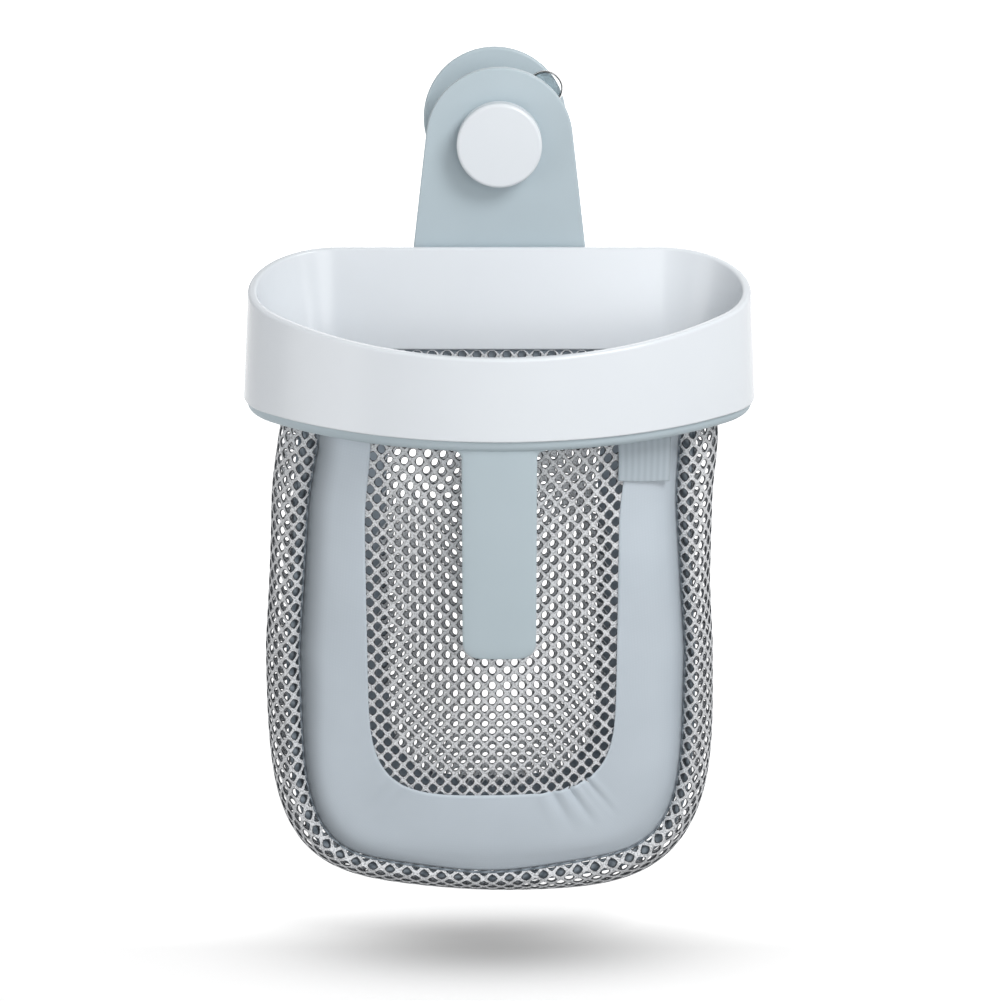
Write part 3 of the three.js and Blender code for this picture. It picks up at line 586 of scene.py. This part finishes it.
def front_wall(x, z):
    """The front panel: the rim's front arc at the top, which leans in and flattens towards the bottom."""
    lean_in, top_bend, foot_bend = 25, 1 / (front_radius - bag_inset), 1 / 500
    bend = top_bend + (foot_bend - top_bend) * fall(z)
    return bag_inset - rim_depth + lean_in * fall(z) + (1 - np.sqrt(1 - (bend * x) ** 2)) / bend


def back_wall(x, z):
    """The back panel: flat, bent round the rim's corners at the top, and leaning in towards the bottom."""
    lean_in, radius = 19, corner_radius - bag_inset
    past = np.clip(np.abs(x) - straight_half, 0, radius - 0.5)
    return -bag_inset - lean_in * fall(z) - (radius - np.sqrt(radius**2 - past**2)) * (1 - fall(z))


def loose(z):
    """0 where the ring holds the bag and 1 from 12 mm below it."""
    return np.clip((-6 - z) / 12, 0, 1)


def groove(x):
    """How far the seam lies below the trim: 3 mm under the bag and 6.2 mm down its sides."""
    return 3 + 3.2 * (x / 90) ** 2


def settled(x, y, z, sagging=1.0):
    """The soft bag hangs a little askew: below the ring it drifts to the left over 45 mm, and towards its
    foot it drops to the left. The last 40 mm sag in the middle, as sin^2 of half a turn in 100 mm."""
    drift, tilted, sunk, raised = 3.4, 0.02, 3.4, 1.2
    free = np.clip((ring_foot - z) / 45, 0, 1)
    low = np.clip((-190 - z) / 40, 0, 1) ** 2
    sag = sagging * low * (sunk * np.sin(np.pi * x / 100) ** 2 - raised)
    return np.stack([x - drift * free * free * (3 - 2 * free), y, z + tilted * x * fall(z) + sag], -1)


# Outlines in front view: half-width at the top and lower down, height where the bottom's squared oval starts,
# height of its foot, and its power. The ring's front draws the front seam in at the top.
front_line = (79.8, 91.0, -120.0, bag_foot, 4.6)
back_line = (86.8, 90.5, -120.0, bag_foot, 4.6)
front_window = (57.5, 57.8, -125.0, -187.5, 4.0)
back_window = (50.0, 50.5, -130.0, -198.0, 4.0)


def outline(line, s):
    """A U from the top left, s = 0, down, along the bottom and up to the top right, s = 1: straight sides for
    the first and last 0.28, and between them a squared oval, x = half |cos t| ^ (2 / power) and
    drop = depth |sin t| ^ (2 / power)."""
    top_half, half, middle, low, power = line
    straight, bowed = 0.28, 0.44
    part = np.minimum(np.minimum(s, 1 - s) / straight, 1)
    t = np.clip((s - straight) / bowed, 0, 1) * np.pi
    x = (top_half + (half - top_half) * part) * np.abs(np.cos(t)) ** (2 / power)
    z = bag_top + (middle - bag_top) * part - (middle - low) * np.abs(np.sin(t)) ** (2 / power)
    return np.where(s < 0.5, -x, x), z


def inside(line, margin):
    """Tells whether points lie within an outline grown by a margin."""
    top_half, half, middle, low, power = line

    def test(x, z):
        """True where (|x| / half-width) ^ power + (drop / depth) ^ power is below 1, under the bag's top."""
        wide = top_half + (half - top_half) * np.clip((bag_top - z) / (bag_top - middle), 0, 1) + margin
        down = np.clip((middle - z) / (middle - low + margin), 0, None)
        return ((np.abs(x) / wide) ** power + down**power < 1) & (z < bag_top)

    return test


# Even steps along the back seam, the front seam's points beside them, and the outward direction in x and z.
dense = np.linspace(0, 1, 20001)
dense_x, dense_z = outline(back_line, dense)
dense_run = np.concatenate([[0], np.cumsum(np.hypot(np.diff(dense_x), np.diff(dense_z)))])
seam_run = np.linspace(0, dense_run[-1], 621)
back_x = np.interp(seam_run, dense_run, dense_x)
seam_z = np.interp(seam_run, dense_run, dense_z)
front_x = np.interp(seam_run, dense_run, outline(front_line, dense)[0])
out_x, out_z = np.gradient(seam_z, seam_run), -np.gradient(back_x, seam_run)
out_x, out_z = out_x / np.hypot(out_x, out_z), out_z / np.hypot(out_x, out_z)

# Across the gusset: its arc is measured for seams 40 mm apart and a swell of 15 mm.
gusset_t = np.linspace(0, 1, 201)
gusset_rise = 15 * np.diff(4 * gusset_t * (1 - gusset_t))
gusset_width = np.concatenate([[0], np.cumsum(np.hypot(40 / 200, gusset_rise))])


def gusset(a, b):
    """The gusset at a millimetres along the seam and b across: it runs from the sunk front seam to the back
    one, swells outward as 4 t (1 - t), more on the left than on the right side and more at the right of the
    foot, and beside the front seam stands a little proud of the front panel. What lies beyond a seam is
    turned in behind it."""
    near, far = np.interp(a, seam_run, front_x), np.interp(a, seam_run, back_x)
    z, sideways = np.interp(a, seam_run, seam_z), np.interp(a, seam_run, out_x)
    t = np.interp(b, gusset_width, gusset_t)
    t = t + 0.002 * (np.minimum(b, 0) + np.maximum(b - gusset_width[-1], 0))
    ripple = 0.8 * np.sin(a / 41) + 0.6 * np.sin(a / 23 + 1)
    drawn_in = (1.2 + sideways) * np.clip((-30 - z) / 60, 0, 1)
    under = (1 - np.abs(sideways)) * (3.2 + near / 18)
    belly = 13.6 + (1.2 + 3.4 * fall(z)) * np.abs(sideways)
    swell = (belly + (ripple - drawn_in + under) * loose(z)) * 4 * t * (1 - t)
    crest = t / 0.1
    proud = loose(z) * (groove(near) + 1.4) * crest * np.exp(1 - crest)
    front = front_wall(near, z) + (groove(near) - 1) * loose(z)
    back = back_wall(far, z) - (groove(far) - 1) * loose(z)
    y = front * (1 - t) + back * t - proud
    x = near + (far - near) * t + sideways * swell
    z = z + np.minimum(np.interp(a, seam_run, out_z), 0) * swell
    return settled(x, y, z, sagging=1 - 3.6 * t * (1 - t))


def normals(laid, a, b, step=0.2):
    """Unit normals of a laid surface: the cross product of its steps along a and along b."""
    normal = np.cross(laid(a + step, b) - laid(a - step, b), laid(a, b + step) - laid(a, b - step))
    return normal / np.linalg.norm(normal, axis=-1, keepdims=True)


def net(laid, steps, columns, rows, kept, hole=(1.7, 2.05), thick=0.45):
    """Knitted net over laid(a, b): cells are diamonds of half-steps p by q about (ip, jq) with i + j even.
    Five rings of twelve points run from the diamond's edge over the thread's crest to the hole, (a / ha) ^ 2
    + (b / hb) ^ 2 = 1, and back behind, each point raised along the surface's normal. An edge with no
    neighbour has no height, so front and back meet there."""
    spokes, crest_at, tip_dip, side_dip = 12, 0.4, 0.05, 0.3
    i, j = np.meshgrid(columns, rows, indexing="ij")
    there = ((i + j) % 2 == 0) & kept(i * steps[0], j * steps[1])
    wide = np.pad(there, 2)

    def beside(di, dj):
        """Tells for each cell whether the one di columns and dj rows away is there."""
        return wide[2 + di : 2 + di + i.shape[0], 2 + dj : 2 + dj + i.shape[1]]

    ne, nw, sw, se = beside(1, 1), beside(-1, 1), beside(-1, -1), beside(1, -1)
    east, north = ne & se & beside(2, 0), ne & nw & beside(0, 2)
    west, south = nw & sw & beside(-2, 0), sw & se & beside(0, -2)
    joined = np.stack([east, ne, ne, north, nw, nw, west, sw, sw, south, se, se], -1)[there]
    corner = np.array([[1, 0], [0, 1], [-1, 0], [0, -1], [1, 0]]) * steps
    third = np.arange(3)[:, None] / 3
    edge = (corner[:-1, None] * (1 - third) + corner[1:, None] * third).reshape(-1, 2)
    k = np.arange(spokes)
    oval = np.stack([hole[0] * np.cos(k * np.pi / 6), hole[1] * np.sin(k * np.pi / 6)], 1)
    crest = oval + (edge - oval) * crest_at
    rings = np.stack([edge, crest, oval, crest, edge])
    dip = np.where(k % 3 == 0, tip_dip, side_dip) * joined
    whole = np.ones_like(dip)
    height = thick * np.stack([dip, whole, 0 * whole, -whole, -dip], 1)
    a = (i[there] * steps[0])[:, None, None] + rings[..., 0]
    b = (j[there] * steps[1])[:, None, None] + rings[..., 1]
    points = laid(a, b) + height[..., None] * normals(laid, a, b) + scoop_origin
    first = np.arange(len(a))[:, None, None] * len(rings) * spokes + np.arange(4)[:, None] * spokes
    after = (k + 1) % spokes
    quads = np.stack([k, after, spokes + after, spokes + k], -1) + first[..., None]
    at = np.stack(np.meshgrid(k, np.arange(4)), -1)
    corners = at[..., None, :] + np.array([[0, 0], [1, 0], [1, 1], [0, 1]])
    return (points.reshape(-1, 3), quads.reshape(-1, 4)), np.tile(corners.reshape(-1, 4, 2), (len(a), 1, 1))


# Polyester yarn: bundles of fine white filaments. Round each hole they are drawn near black: painted shade
# where they turn into the hole. The knit's stitches of 0.4 mm are too fine to show and are drawn as flecks of
# 0.9 mm. The map counts twelfths of a turn round the hole, and across the thread from 0 where loops meet over
# 2 at the hole's edge to 4 behind. At a scale of 0.55 on this map the twisted strands are about 0.2 mm wide.
yarn = blank("knitted_polyester_yarn")
lay = node(yarn, "UVMap", uv_map="cloth")
twist = node(yarn, "Mapping", {"Vector": lay.outputs["UV"], "Rotation": (0, 0, 0.5)})
strands = node(
    yarn,
    "TexWave",
    {"Vector": twist.outputs[0], "Scale": 0.55, "Distortion": 1.5, "Detail": 2.0},
    bands_direction="Y",
)
place = node(yarn, "TexCoord")
cloud = node(yarn, "TexNoise", {"Vector": place.outputs["Object"], "Scale": 1 / 0.0009, "Detail": 1.0})
ring_number = node(yarn, "SeparateXYZ", {"Vector": lay.outputs["UV"]})
loop = node(yarn, "Math", {0: ring_number.outputs["Y"], 1: 2.0}, operation="PINGPONG")
# Painted shade: the yarn's colour goes near black at the hole's edge.
loop = node(
    yarn,
    "MapRange",
    {"Value": loop.outputs[0], "From Min": 1.0, "From Max": 1.5, "To Min": 1.0, "To Max": 0.0},
    interpolation_type="SMOOTHSTEP",
)
uneven = node(
    yarn,
    "MapRange",
    {"Value": cloud.outputs["Fac"], "From Min": 0.38, "From Max": 0.55, "To Min": 0.6, "To Max": 1.0},
)
mixed = node(yarn, "Math", {0: loop.outputs[0], 1: uneven.outputs[0]}, operation="MULTIPLY")
shades = {0: mixed.outputs[0], 6: linear("#1f252d"), 7: linear("#fafcff")}
tone = node(yarn, "Mix", shades, data_type="RGBA")
relief = node(yarn, "Bump", {"Height": strands.outputs["Fac"], "Strength": 0.5, "Distance": 0.0003})
surface = node(
    yarn,
    "BsdfPrincipled",
    {
        "Base Color": tone.outputs[2],
        "Normal": relief.outputs[0],
        "Roughness": 0.7,
        "Sheen Weight": 0.3,
        "Sheen Roughness": 0.5,
    },
)
node(yarn, "OutputMaterial", {"Surface": surface.outputs[0]})

window_steps = np.array([3.5, 4.0])


def folded(z):
    """Heights of a net whose raw upper edge is folded flat at 14 mm."""
    return np.minimum(z, 14 + 0.03 * (z - 14))


def front_lay(x, z):
    """The front net lies 0.3 mm inside the front wall."""
    return settled(x, front_wall(x, z) + 0.3, folded(z))


def back_lay(x, z):
    """The back net lies 0.3 mm inside the back wall."""
    return settled(x, back_wall(x, z) - 0.3, folded(z))


in_front = inside(front_window, margin=2.2)
front_shell, front_map = net(front_lay, window_steps, np.arange(-19, 20), np.arange(-50, 4), in_front)
front_net = piece("front_net", [front_shell], yarn, closed=False, uv=front_map, sharp=80)
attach(front_net, "scoop")
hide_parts("front_mesh")

in_back = inside(back_window, margin=2.2)
back_shell, back_map = net(back_lay, window_steps, np.arange(-17, 18), np.arange(-53, 4), in_back)
back_net = piece("back_net", [back_shell], yarn, closed=False, uv=back_map, sharp=80)
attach(back_net, "scoop")
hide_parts("back_mesh")

steps_along, steps_across = 154, 16
gusset_steps = np.array([seam_run[-1] / steps_along, gusset_width[-1] / steps_across])


def on_gusset(a, b):
    """Tells whether a cell's middle lies on the gusset, up to its seams and short of its ends."""
    along = (a > 0.8 * gusset_steps[0]) & (a < seam_run[-1] - 0.8 * gusset_steps[0])
    return along & (b > -0.2 * gusset_steps[1]) & (b < gusset_width[-1] + 0.2 * gusset_steps[1])


along, across = np.arange(steps_along + 1), np.arange(steps_across + 1)
side_shell, side_map = net(gusset, gusset_steps, along, across, on_gusset, hole=(1.9, 1.65))
side_net = piece("gusset_net", [side_shell], yarn, closed=False, uv=side_map, sharp=80)
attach(side_net, "scoop")
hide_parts("side_mesh")


# Trims. A U of satin cloth borders each window, its inner edge folded over the net and its outer edge sewn
# into the seam with the gusset, where it dips. Round the window's lower corners the fold puckers.

# Stations along the border, and shares across it that lie closer at the seam and at the fold.
trim_s = np.interp(np.linspace(0, dense_run[-1], 521), dense_run, dense)
by_seam, between, by_fold = np.linspace(0, 0.3, 13), np.linspace(0.3, 0.94, 20), np.linspace(0.94, 1, 9)
trim_v = np.concatenate([by_seam, between[1:], by_fold[1:]])


def trim(wall, seam, window, side, puckers):
    """The border from the seam to the window, in equal shares v between their outlines at the same s. It lies
    1 mm outside the wall, dips as exp(-(distance / 9) ^ 2) at the seam, rolls in at the fold and puckers in
    ridges that start at an s of the fold and fade away from it."""
    seam_gap, dip_wide, fold_wide = 0.7, 9, 0.6
    s, v = np.meshgrid(trim_s, trim_v, indexing="ij")
    from_x, from_z = outline(seam, s)
    to_x, to_z = outline(window, s)
    wide = np.hypot(to_x - from_x, to_z - from_z)
    v = seam_gap / wide + v * (1 - seam_gap / wide)
    x, z = from_x + (to_x - from_x) * v, from_z + (to_z - from_z) * v
    from_seam, from_fold = wide * v, wide * (1 - v)
    dip = groove(from_x) * np.exp(-((from_seam / dip_wide) ** 2))
    out = 0.5 - dip - 0.5 * np.exp(-((from_fold / fold_wide) ** 2))
    out = out + 0.5 * np.sin(s * 41) * np.sin(np.pi * v) + 0.3 * np.sin(s * 23 + 4 * v)
    for start, width, high in puckers:
        out = out + high * np.exp(-(((s - start) / width) ** 2)) * np.clip(v * 1.8 - 0.8, 0, 1)
    y = wall(x, z) + side * (0.5 + out * loose(z))
    # The map counts a few mm more under the bag and at its right, which narrows the painted seam shade there.
    painted_shade_shift = 4 * (1 - (from_x / 90) ** 2) + 3 * (1 + from_x / 90)
    at = np.stack([np.interp(s, dense, dense_run), from_seam + painted_shade_shift], -1)
    return shell(settled(x, y, z) + scoop_origin, (False, False)), face_corners(at)


def thicken(cloth, metres):
    """Gives a cloth its thickness, half of it on each side."""
    layer = cloth.modifiers.new("cloth_thickness", "SOLIDIFY")
    layer.thickness, layer.offset = metres, 0.0


# Puckers: place along the fold, width, and height in millimetres.
front_puckers = [(0.522, 0.005, 0.8), (0.533, 0.004, -1.1), (0.544, 0.005, 1.0), (0.556, 0.004, -1.3)]
front_puckers += [(0.567, 0.005, 1.0), (0.588, 0.005, -1.1), (0.598, 0.006, 0.7)]
front_puckers += [(0.420, 0.008, 0.4), (0.392, 0.008, 0.4)]
front_cloth, front_cloth_map = trim(front_wall, front_line, front_window, side=-1, puckers=front_puckers)
front_trim = piece("front_trim_satin", [front_cloth], satin, closed=False, uv=front_cloth_map)
thicken(front_trim, 0.0005)
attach(front_trim, "scoop")
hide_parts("front_trim")

back_puckers = [(0.61, 0.003, 0.7), (0.625, 0.003, 0.6), (0.38, 0.003, 0.7), (0.395, 0.003, 0.5)]
back_cloth, back_cloth_map = trim(back_wall, back_line, back_window, side=1, puckers=back_puckers)
# The back trim wears the darker copy of the satin: painted shade.
back_trim = piece("back_trim_lining", [back_cloth], painted_shade_satin, closed=False, uv=back_cloth_map)
thicken(back_trim, 0.0005)
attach(back_trim, "scoop")
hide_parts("back_trim")


# Seams. Overlocked polyester thread binds the gusset to the front and back panels: the row of stitches lies
# as a thin ribbed cord in the groove between trim and net, and the overlock's band is turned in behind the
# net's edge.

# Overlock thread: dull slate grey, in slanting stitches 3.2 mm long whose colour goes light and dark in turn:
# painted light and shade on each stitch.
thread = blank("overlock_thread")
lay = node(thread, "UVMap", uv_map="cloth")
stitch = node(
    thread,
    "TexWave",
    {"Vector": lay.outputs["UV"], "Scale": 1 / (3.2 * np.pi), "Distortion": 0.4},
    bands_direction="DIAGONAL",
)
# Painted light and shade: the stitch wave lightens and darkens the thread.
shades = {0: stitch.outputs["Fac"], 6: linear("#5d6770"), 7: linear("#8f99a2")}
tone = node(thread, "Mix", shades, data_type="RGBA")
relief = node(thread, "Bump", {"Height": stitch.outputs["Fac"], "Strength": 0.6, "Distance": 0.0003})
surface = node(
    thread,
    "BsdfPrincipled",
    {"Base Color": tone.outputs[2], "Normal": relief.outputs[0], "Roughness": 0.75, "Sheen Weight": 0.2},
)
node(thread, "OutputMaterial", {"Surface": surface.outputs[0]})


def seam_cord(wall, along_x, side):
    """A thin tube along the seam's outline on one wall: each ring lies in the outward direction and y."""
    thin, raised = 0.6, 1.6
    t = np.linspace(0, 2 * np.pi, 9)
    x, z = along_x[:, None], seam_z[:, None]
    y = wall(x, z) - side * (groove(x) - raised) * loose(z)
    radius = np.full((len(x), 1), thin)
    radius[[0, -1]] = 0
    reach = radius * np.cos(t)
    grid = settled(x + out_x[:, None] * reach, y + radius * np.sin(t), z + out_z[:, None] * reach)
    return shell(grid + scoop_origin, (False, False)), corner_map(seam_run, thin * t)


def overlock(middle, half):
    """The band: flat ovals about a line on the gusset, b = middle + half cos t, sunk inside its surface along
    the inward normal; they shrink to points at the ends."""
    sunk, half_thick = 1.3, 0.15
    t = np.linspace(0, 2 * np.pi, 13)
    size = np.ones((len(seam_run), 1))
    size[[0, -1]] = 0
    a, b = seam_run[:, None] + 0 * t, middle + half * size * np.cos(t)
    grid = gusset(a, b) + normals(gusset, a, b) * (sunk + half_thick * size * np.sin(t))[..., None]
    return shell(grid + scoop_origin, (False, False)), corner_map(seam_run, np.linspace(0, 4 * half, 13))


band_from_edge, band_half = 3.9, 3.5
for seam_name, node_name, wall, along_x, side, middle in (
    ("front_seam_thread", "front_seam", front_wall, front_x, -1, band_from_edge),
    ("back_seam_thread", "back_seam", back_wall, back_x, 1, gusset_width[-1] - band_from_edge),
):
    cord_shell, cord_map = seam_cord(wall, along_x, side)
    band_shell, band_map = overlock(middle, band_half)
    seam = piece(seam_name, [cord_shell, band_shell], thread, uv=np.concatenate([cord_map, band_map]))
    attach(seam, "scoop")
    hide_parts(node_name)


# Tag. A bare folded label of ribbed tape, sewn in under the ring at the upper right of the front trim; it
# hangs flat on the trim with its fold at the bottom.

# Label tape: pale blue-grey and dull, with soft ribs 1.5 mm wide that run down the tape.
ribbed = blank("ribbed_label_tape")
lay = node(ribbed, "UVMap", uv_map="cloth")
ribbing = {"Scale": 1 / (1.5 * 2 * np.pi), "Distortion": 1.2, "Detail": 2.0, "Detail Scale": 0.4}
ribs = node(ribbed, "TexWave", {"Vector": lay.outputs["UV"], **ribbing}, bands_direction="X")
shades = {0: ribs.outputs["Fac"], 6: linear("#b0bcc4"), 7: linear("#bbc6ce")}
tone = node(ribbed, "Mix", shades, data_type="RGBA")
relief = node(ribbed, "Bump", {"Height": ribs.outputs["Fac"], "Strength": 0.15, "Distance": 0.0003})
surface = node(
    ribbed,
    "BsdfPrincipled",
    {
        "Base Color": tone.outputs[2],
        "Normal": relief.outputs[0],
        "Roughness": 0.6,
        "Sheen Weight": 0.2,
    },
)
node(ribbed, "OutputMaterial", {"Surface": surface.outputs[0]})


def label(left, right, top, low, askew, front_gap):
    """A tape folded once: down the front, round a small half circle at the bottom and up behind, with a
    gentle wave across it. Its foot drops askew times the distance to the right, and moves right by a tenth of
    its drop, so the tape hangs upright on the leaning bag."""
    fold, wave_high, rows = 0.4, 0.25, 20
    bend = np.linspace(0, np.pi, 9)
    down = np.linspace(top, low + fold, rows)
    drop = np.concatenate([down, low + fold - fold * np.sin(bend), down[::-1]])
    deep = np.concatenate([np.zeros(rows), fold * (1 - np.cos(bend)), np.full(rows, 2 * fold)])
    run = np.concatenate([[0], np.cumsum(np.hypot(np.diff(drop), np.diff(deep)))])
    x, drop = np.linspace(left, right, 25), drop[:, None]
    tape_map = corner_map(run, x)[..., ::-1]
    z = drop - askew * (x - left) * (top - drop) / (top - low)
    wave = wave_high * np.sin((x - left) / 5) * np.clip((top - z) / 12, 0, 1)
    x = x + 0.1 * (top - z)
    y = front_wall(x, z) - front_gap + deep[:, None] - wave
    return shell(settled(x, y, z) + scoop_origin, (False, False)), tape_map


tape, tape_map = label(left=53, right=77, top=-8, low=-27, askew=0.2, front_gap=2.2)
tag = piece("bare_label", [tape], ribbed, closed=False, uv=tape_map)
thicken(tag, 0.0003)
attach(tag, "scoop")
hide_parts("blank_tag")


# Washer. A thin ring stamped from natural nylon, loose on the stud, that lets the nut turn without dragging
# on the plate. Nylon looks off-white and half matt, with a faint haze over some 4 mm.
nylon = blank("natural_nylon")
place = node(nylon, "TexCoord")
haze = node(nylon, "TexNoise", {"Vector": place.outputs["Object"], "Scale": 1 / 0.004, "Detail": 2.0})
shades = {0: haze.outputs["Fac"], 6: linear("#d6d8d6"), 7: linear("#e2e4e3")}
tone = node(nylon, "Mix", shades, data_type="RGBA")
surface = node(nylon, "BsdfPrincipled", {"Base Color": tone.outputs[2], "Roughness": 0.45, "IOR": 1.53})
node(nylon, "OutputMaterial", {"Surface": surface.outputs[0]})

bore, ring_edge, ring_back, ring_front = 3.3, 8, 30, 31
washer_corners = [[bore, ring_back], [ring_edge, ring_back], [ring_edge, ring_front], [bore, ring_front]]
washer_grid = turned(rounded(washer_corners, [0.2] * 4, steps=3), stud_axis, facets=64)
washer = piece("nylon_washer", [shell(washer_grid, (True, True))], nylon)
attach(washer, "washer")
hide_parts("knob_washer")


# Lock knob. A flat round thumb nut of the rim's white polypropylene with a rounded edge; its boss carries the
# thread and bears on the washer.
boss_radius, knob_radius, boss_back, knob_back, knob_front = 10, 19.6, 31.3, 33.3, 41
boss = [[0, 38.4], [bore, 38.4], [bore, boss_back], [boss_radius, boss_back], [boss_radius, knob_back]]
grip_round = [[knob_radius, knob_back], [knob_radius, knob_front], [0, knob_front]]
knob_profile = rounded(boss + grip_round, [0, 0.2, 0.3, 0.5, 0.4, 0.7, 1.5, 0], steps=8)
knob_grid = turned(knob_profile, stud_axis, facets=144)
knob = piece("knob_moulding", [shell(knob_grid)], white_pp)
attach(knob, "knob")
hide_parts("lock_knob")


# Studio. A white floor just below the bag that keeps the soft shadow the bag casts, deepened by a painted
# shadow, a white surround, a soft key from the upper right with a small strip below it, weaker fills from
# left, front and behind, and a camera that looks slightly down.
shadow_middle = (-0.001, -0.090, -0.393)
paper = blank("white_studio_paper")
ray = node(paper, "LightPath").outputs
seen = node(paper, "Math", {0: ray["Is Camera Ray"], 1: ray["Is Glossy Ray"]}, operation="MAXIMUM")
seen = node(paper, "Math", {0: seen.outputs[0], 1: ray["Is Transmission Ray"]}, operation="MAXIMUM")
# The paper glows all round the bag's shadow, so that the shadow alone shows on white: a painted shadow, since
# the glow fades towards the shadow's middle as 1 - exp(-r^2 / 2), with r in steps of 66 mm across and 22 mm
# in depth. It is stronger towards the wall, where the bag shades the floor more, and from 0.3 to 1.2 m away,
# beyond the lamps' reach: painted light that lifts those parts to white.
place = node(paper, "TexCoord")
apart = node(paper, "VectorMath", {0: place.outputs["Object"], 1: shadow_middle}, operation="SUBTRACT")
away = node(paper, "VectorMath", {0: apart.outputs[0]}, operation="LENGTH")
apart = node(paper, "VectorMath", {0: apart.outputs[0], 1: (1 / 0.066, 1 / 0.022, 1.0)}, operation="MULTIPLY")
square = node(paper, "VectorMath", {0: apart.outputs[0], 1: apart.outputs[0]}, operation="DOT_PRODUCT")
# Painted shadow: exp(-r^2 / 2) is the share of the glow taken away under the bag.
fade = node(paper, "Math", {0: square.outputs["Value"], 1: -0.5}, operation="MULTIPLY")
fade = node(paper, "Math", {0: fade.outputs[0]}, operation="EXPONENT")
clear = node(paper, "Math", {0: 1.0, 1: fade.outputs[0]}, operation="SUBTRACT")
depth = node(paper, "SeparateXYZ", {"Vector": place.outputs["Object"]})
painted_glow_strength = node(
    paper,
    "MapRange",
    {"Value": depth.outputs["Y"], "From Min": -0.09, "From Max": -0.055, "To Min": 0.6, "To Max": 0.87},
)
more = node(
    paper,
    "MapRange",
    {"Value": away.outputs["Value"], "From Min": 0.3, "From Max": 1.2, "To Min": 0.0, "To Max": 0.4},
)
painted_glow_strength = node(paper, "Math", {0: painted_glow_strength.outputs[0], 1: more.outputs[0]}, operation="ADD")
painted_floor_glow = node(paper, "Math", {0: clear.outputs[0], 1: painted_glow_strength.outputs[0], 2: 0.02}, operation="MULTIPLY_ADD")
lift = node(paper, "Math", {0: seen.outputs[0], 1: painted_floor_glow.outputs[0]}, operation="MULTIPLY")
white = node(paper, "Emission", {"Color": linear("#ffffff"), "Strength": lift.outputs[0]})
matt = node(paper, "BsdfDiffuse", {"Color": linear("#c4c4c4")})
both = node(paper, "AddShader", {0: matt.outputs[0], 1: white.outputs[0]})
node(paper, "OutputMaterial", {"Surface": both.outputs[0]})
floor_side = np.linspace(-4000, 4000, 3)
floor_x, floor_y = np.meshgrid(floor_side, floor_side, indexing="ij")
floor_grid = np.stack([floor_x, floor_y, 0 * floor_x + 1000 * shadow_middle[2]], -1)
floor = piece("studio_floor", [shell(floor_grid, (False, False))], paper, closed=False)

surround = bpy.data.worlds.new("white_surround")
surround.use_nodes = True
surround.node_tree.nodes.clear()
ray = node(surround, "LightPath").outputs
seen = node(surround, "Math", {0: ray["Is Camera Ray"], 1: ray["Is Glossy Ray"]}, operation="MAXIMUM")
seen = node(surround, "Math", {0: seen.outputs[0], 1: ray["Is Transmission Ray"]}, operation="MAXIMUM")
level = node(surround, "MapRange", {"Value": seen.outputs[0], "To Min": 0.31, "To Max": 1.0})
sky = node(surround, "Background", {"Color": linear("#ffffff"), "Strength": level.outputs[0]})
node(surround, "OutputWorld", {"Surface": sky.outputs[0]})
bpy.context.scene.world = surround


def softbox(name, place, target, size, watts):
    """A square area lamp, its side in metres, that faces a point."""
    lamp = bpy.data.lights.new(name, "AREA")
    lamp.size, lamp.energy = size, watts
    made = bpy.data.objects.new(name, lamp)
    made.location = place
    aim = np.array(target) - np.array(place)
    made.rotation_euler = (np.arctan2(np.hypot(aim[0], aim[1]), -aim[2]), 0, np.arctan2(-aim[0], aim[1]))
    bpy.context.scene.collection.objects.link(made)


softbox("key_softbox", place=(0.42, -0.58, 0.52), target=(0, -0.06, -0.1), size=0.35, watts=4.4)
softbox("left_softbox", place=(-0.95, -0.55, -0.1), target=(0, -0.08, -0.2), size=0.6, watts=2.3)
softbox("front_softbox", place=(0.3, -1.27, 0.25), target=(0, -0.08, -0.15), size=0.5, watts=2.5)
softbox("strip_softbox", place=(0.66, -0.72, 0.02), target=(-0.08, -0.05, -0.08), size=0.16, watts=0.4)
softbox("back_softbox", place=(0.1, 1.3, 0.3), target=(0, -0.05, -0.15), size=0.8, watts=3.0)

focal_pixels, picture_pixels, sensor, looks_down = 2600, 1001, 36, 19.846
lens = bpy.data.cameras.new("photo_camera")
lens.lens, lens.sensor_width = focal_pixels / picture_pixels * sensor, sensor
camera = bpy.data.objects.new("photo_camera", lens)
camera.location = (0.0027, -1.2147, 0.246)
camera.rotation_euler = (np.radians(90 - looks_down), 0, 0)
bpy.context.scene.collection.objects.link(camera)
bpy.context.scene.camera = camera
bpy.context.scene.view_settings.view_transform = "Standard"
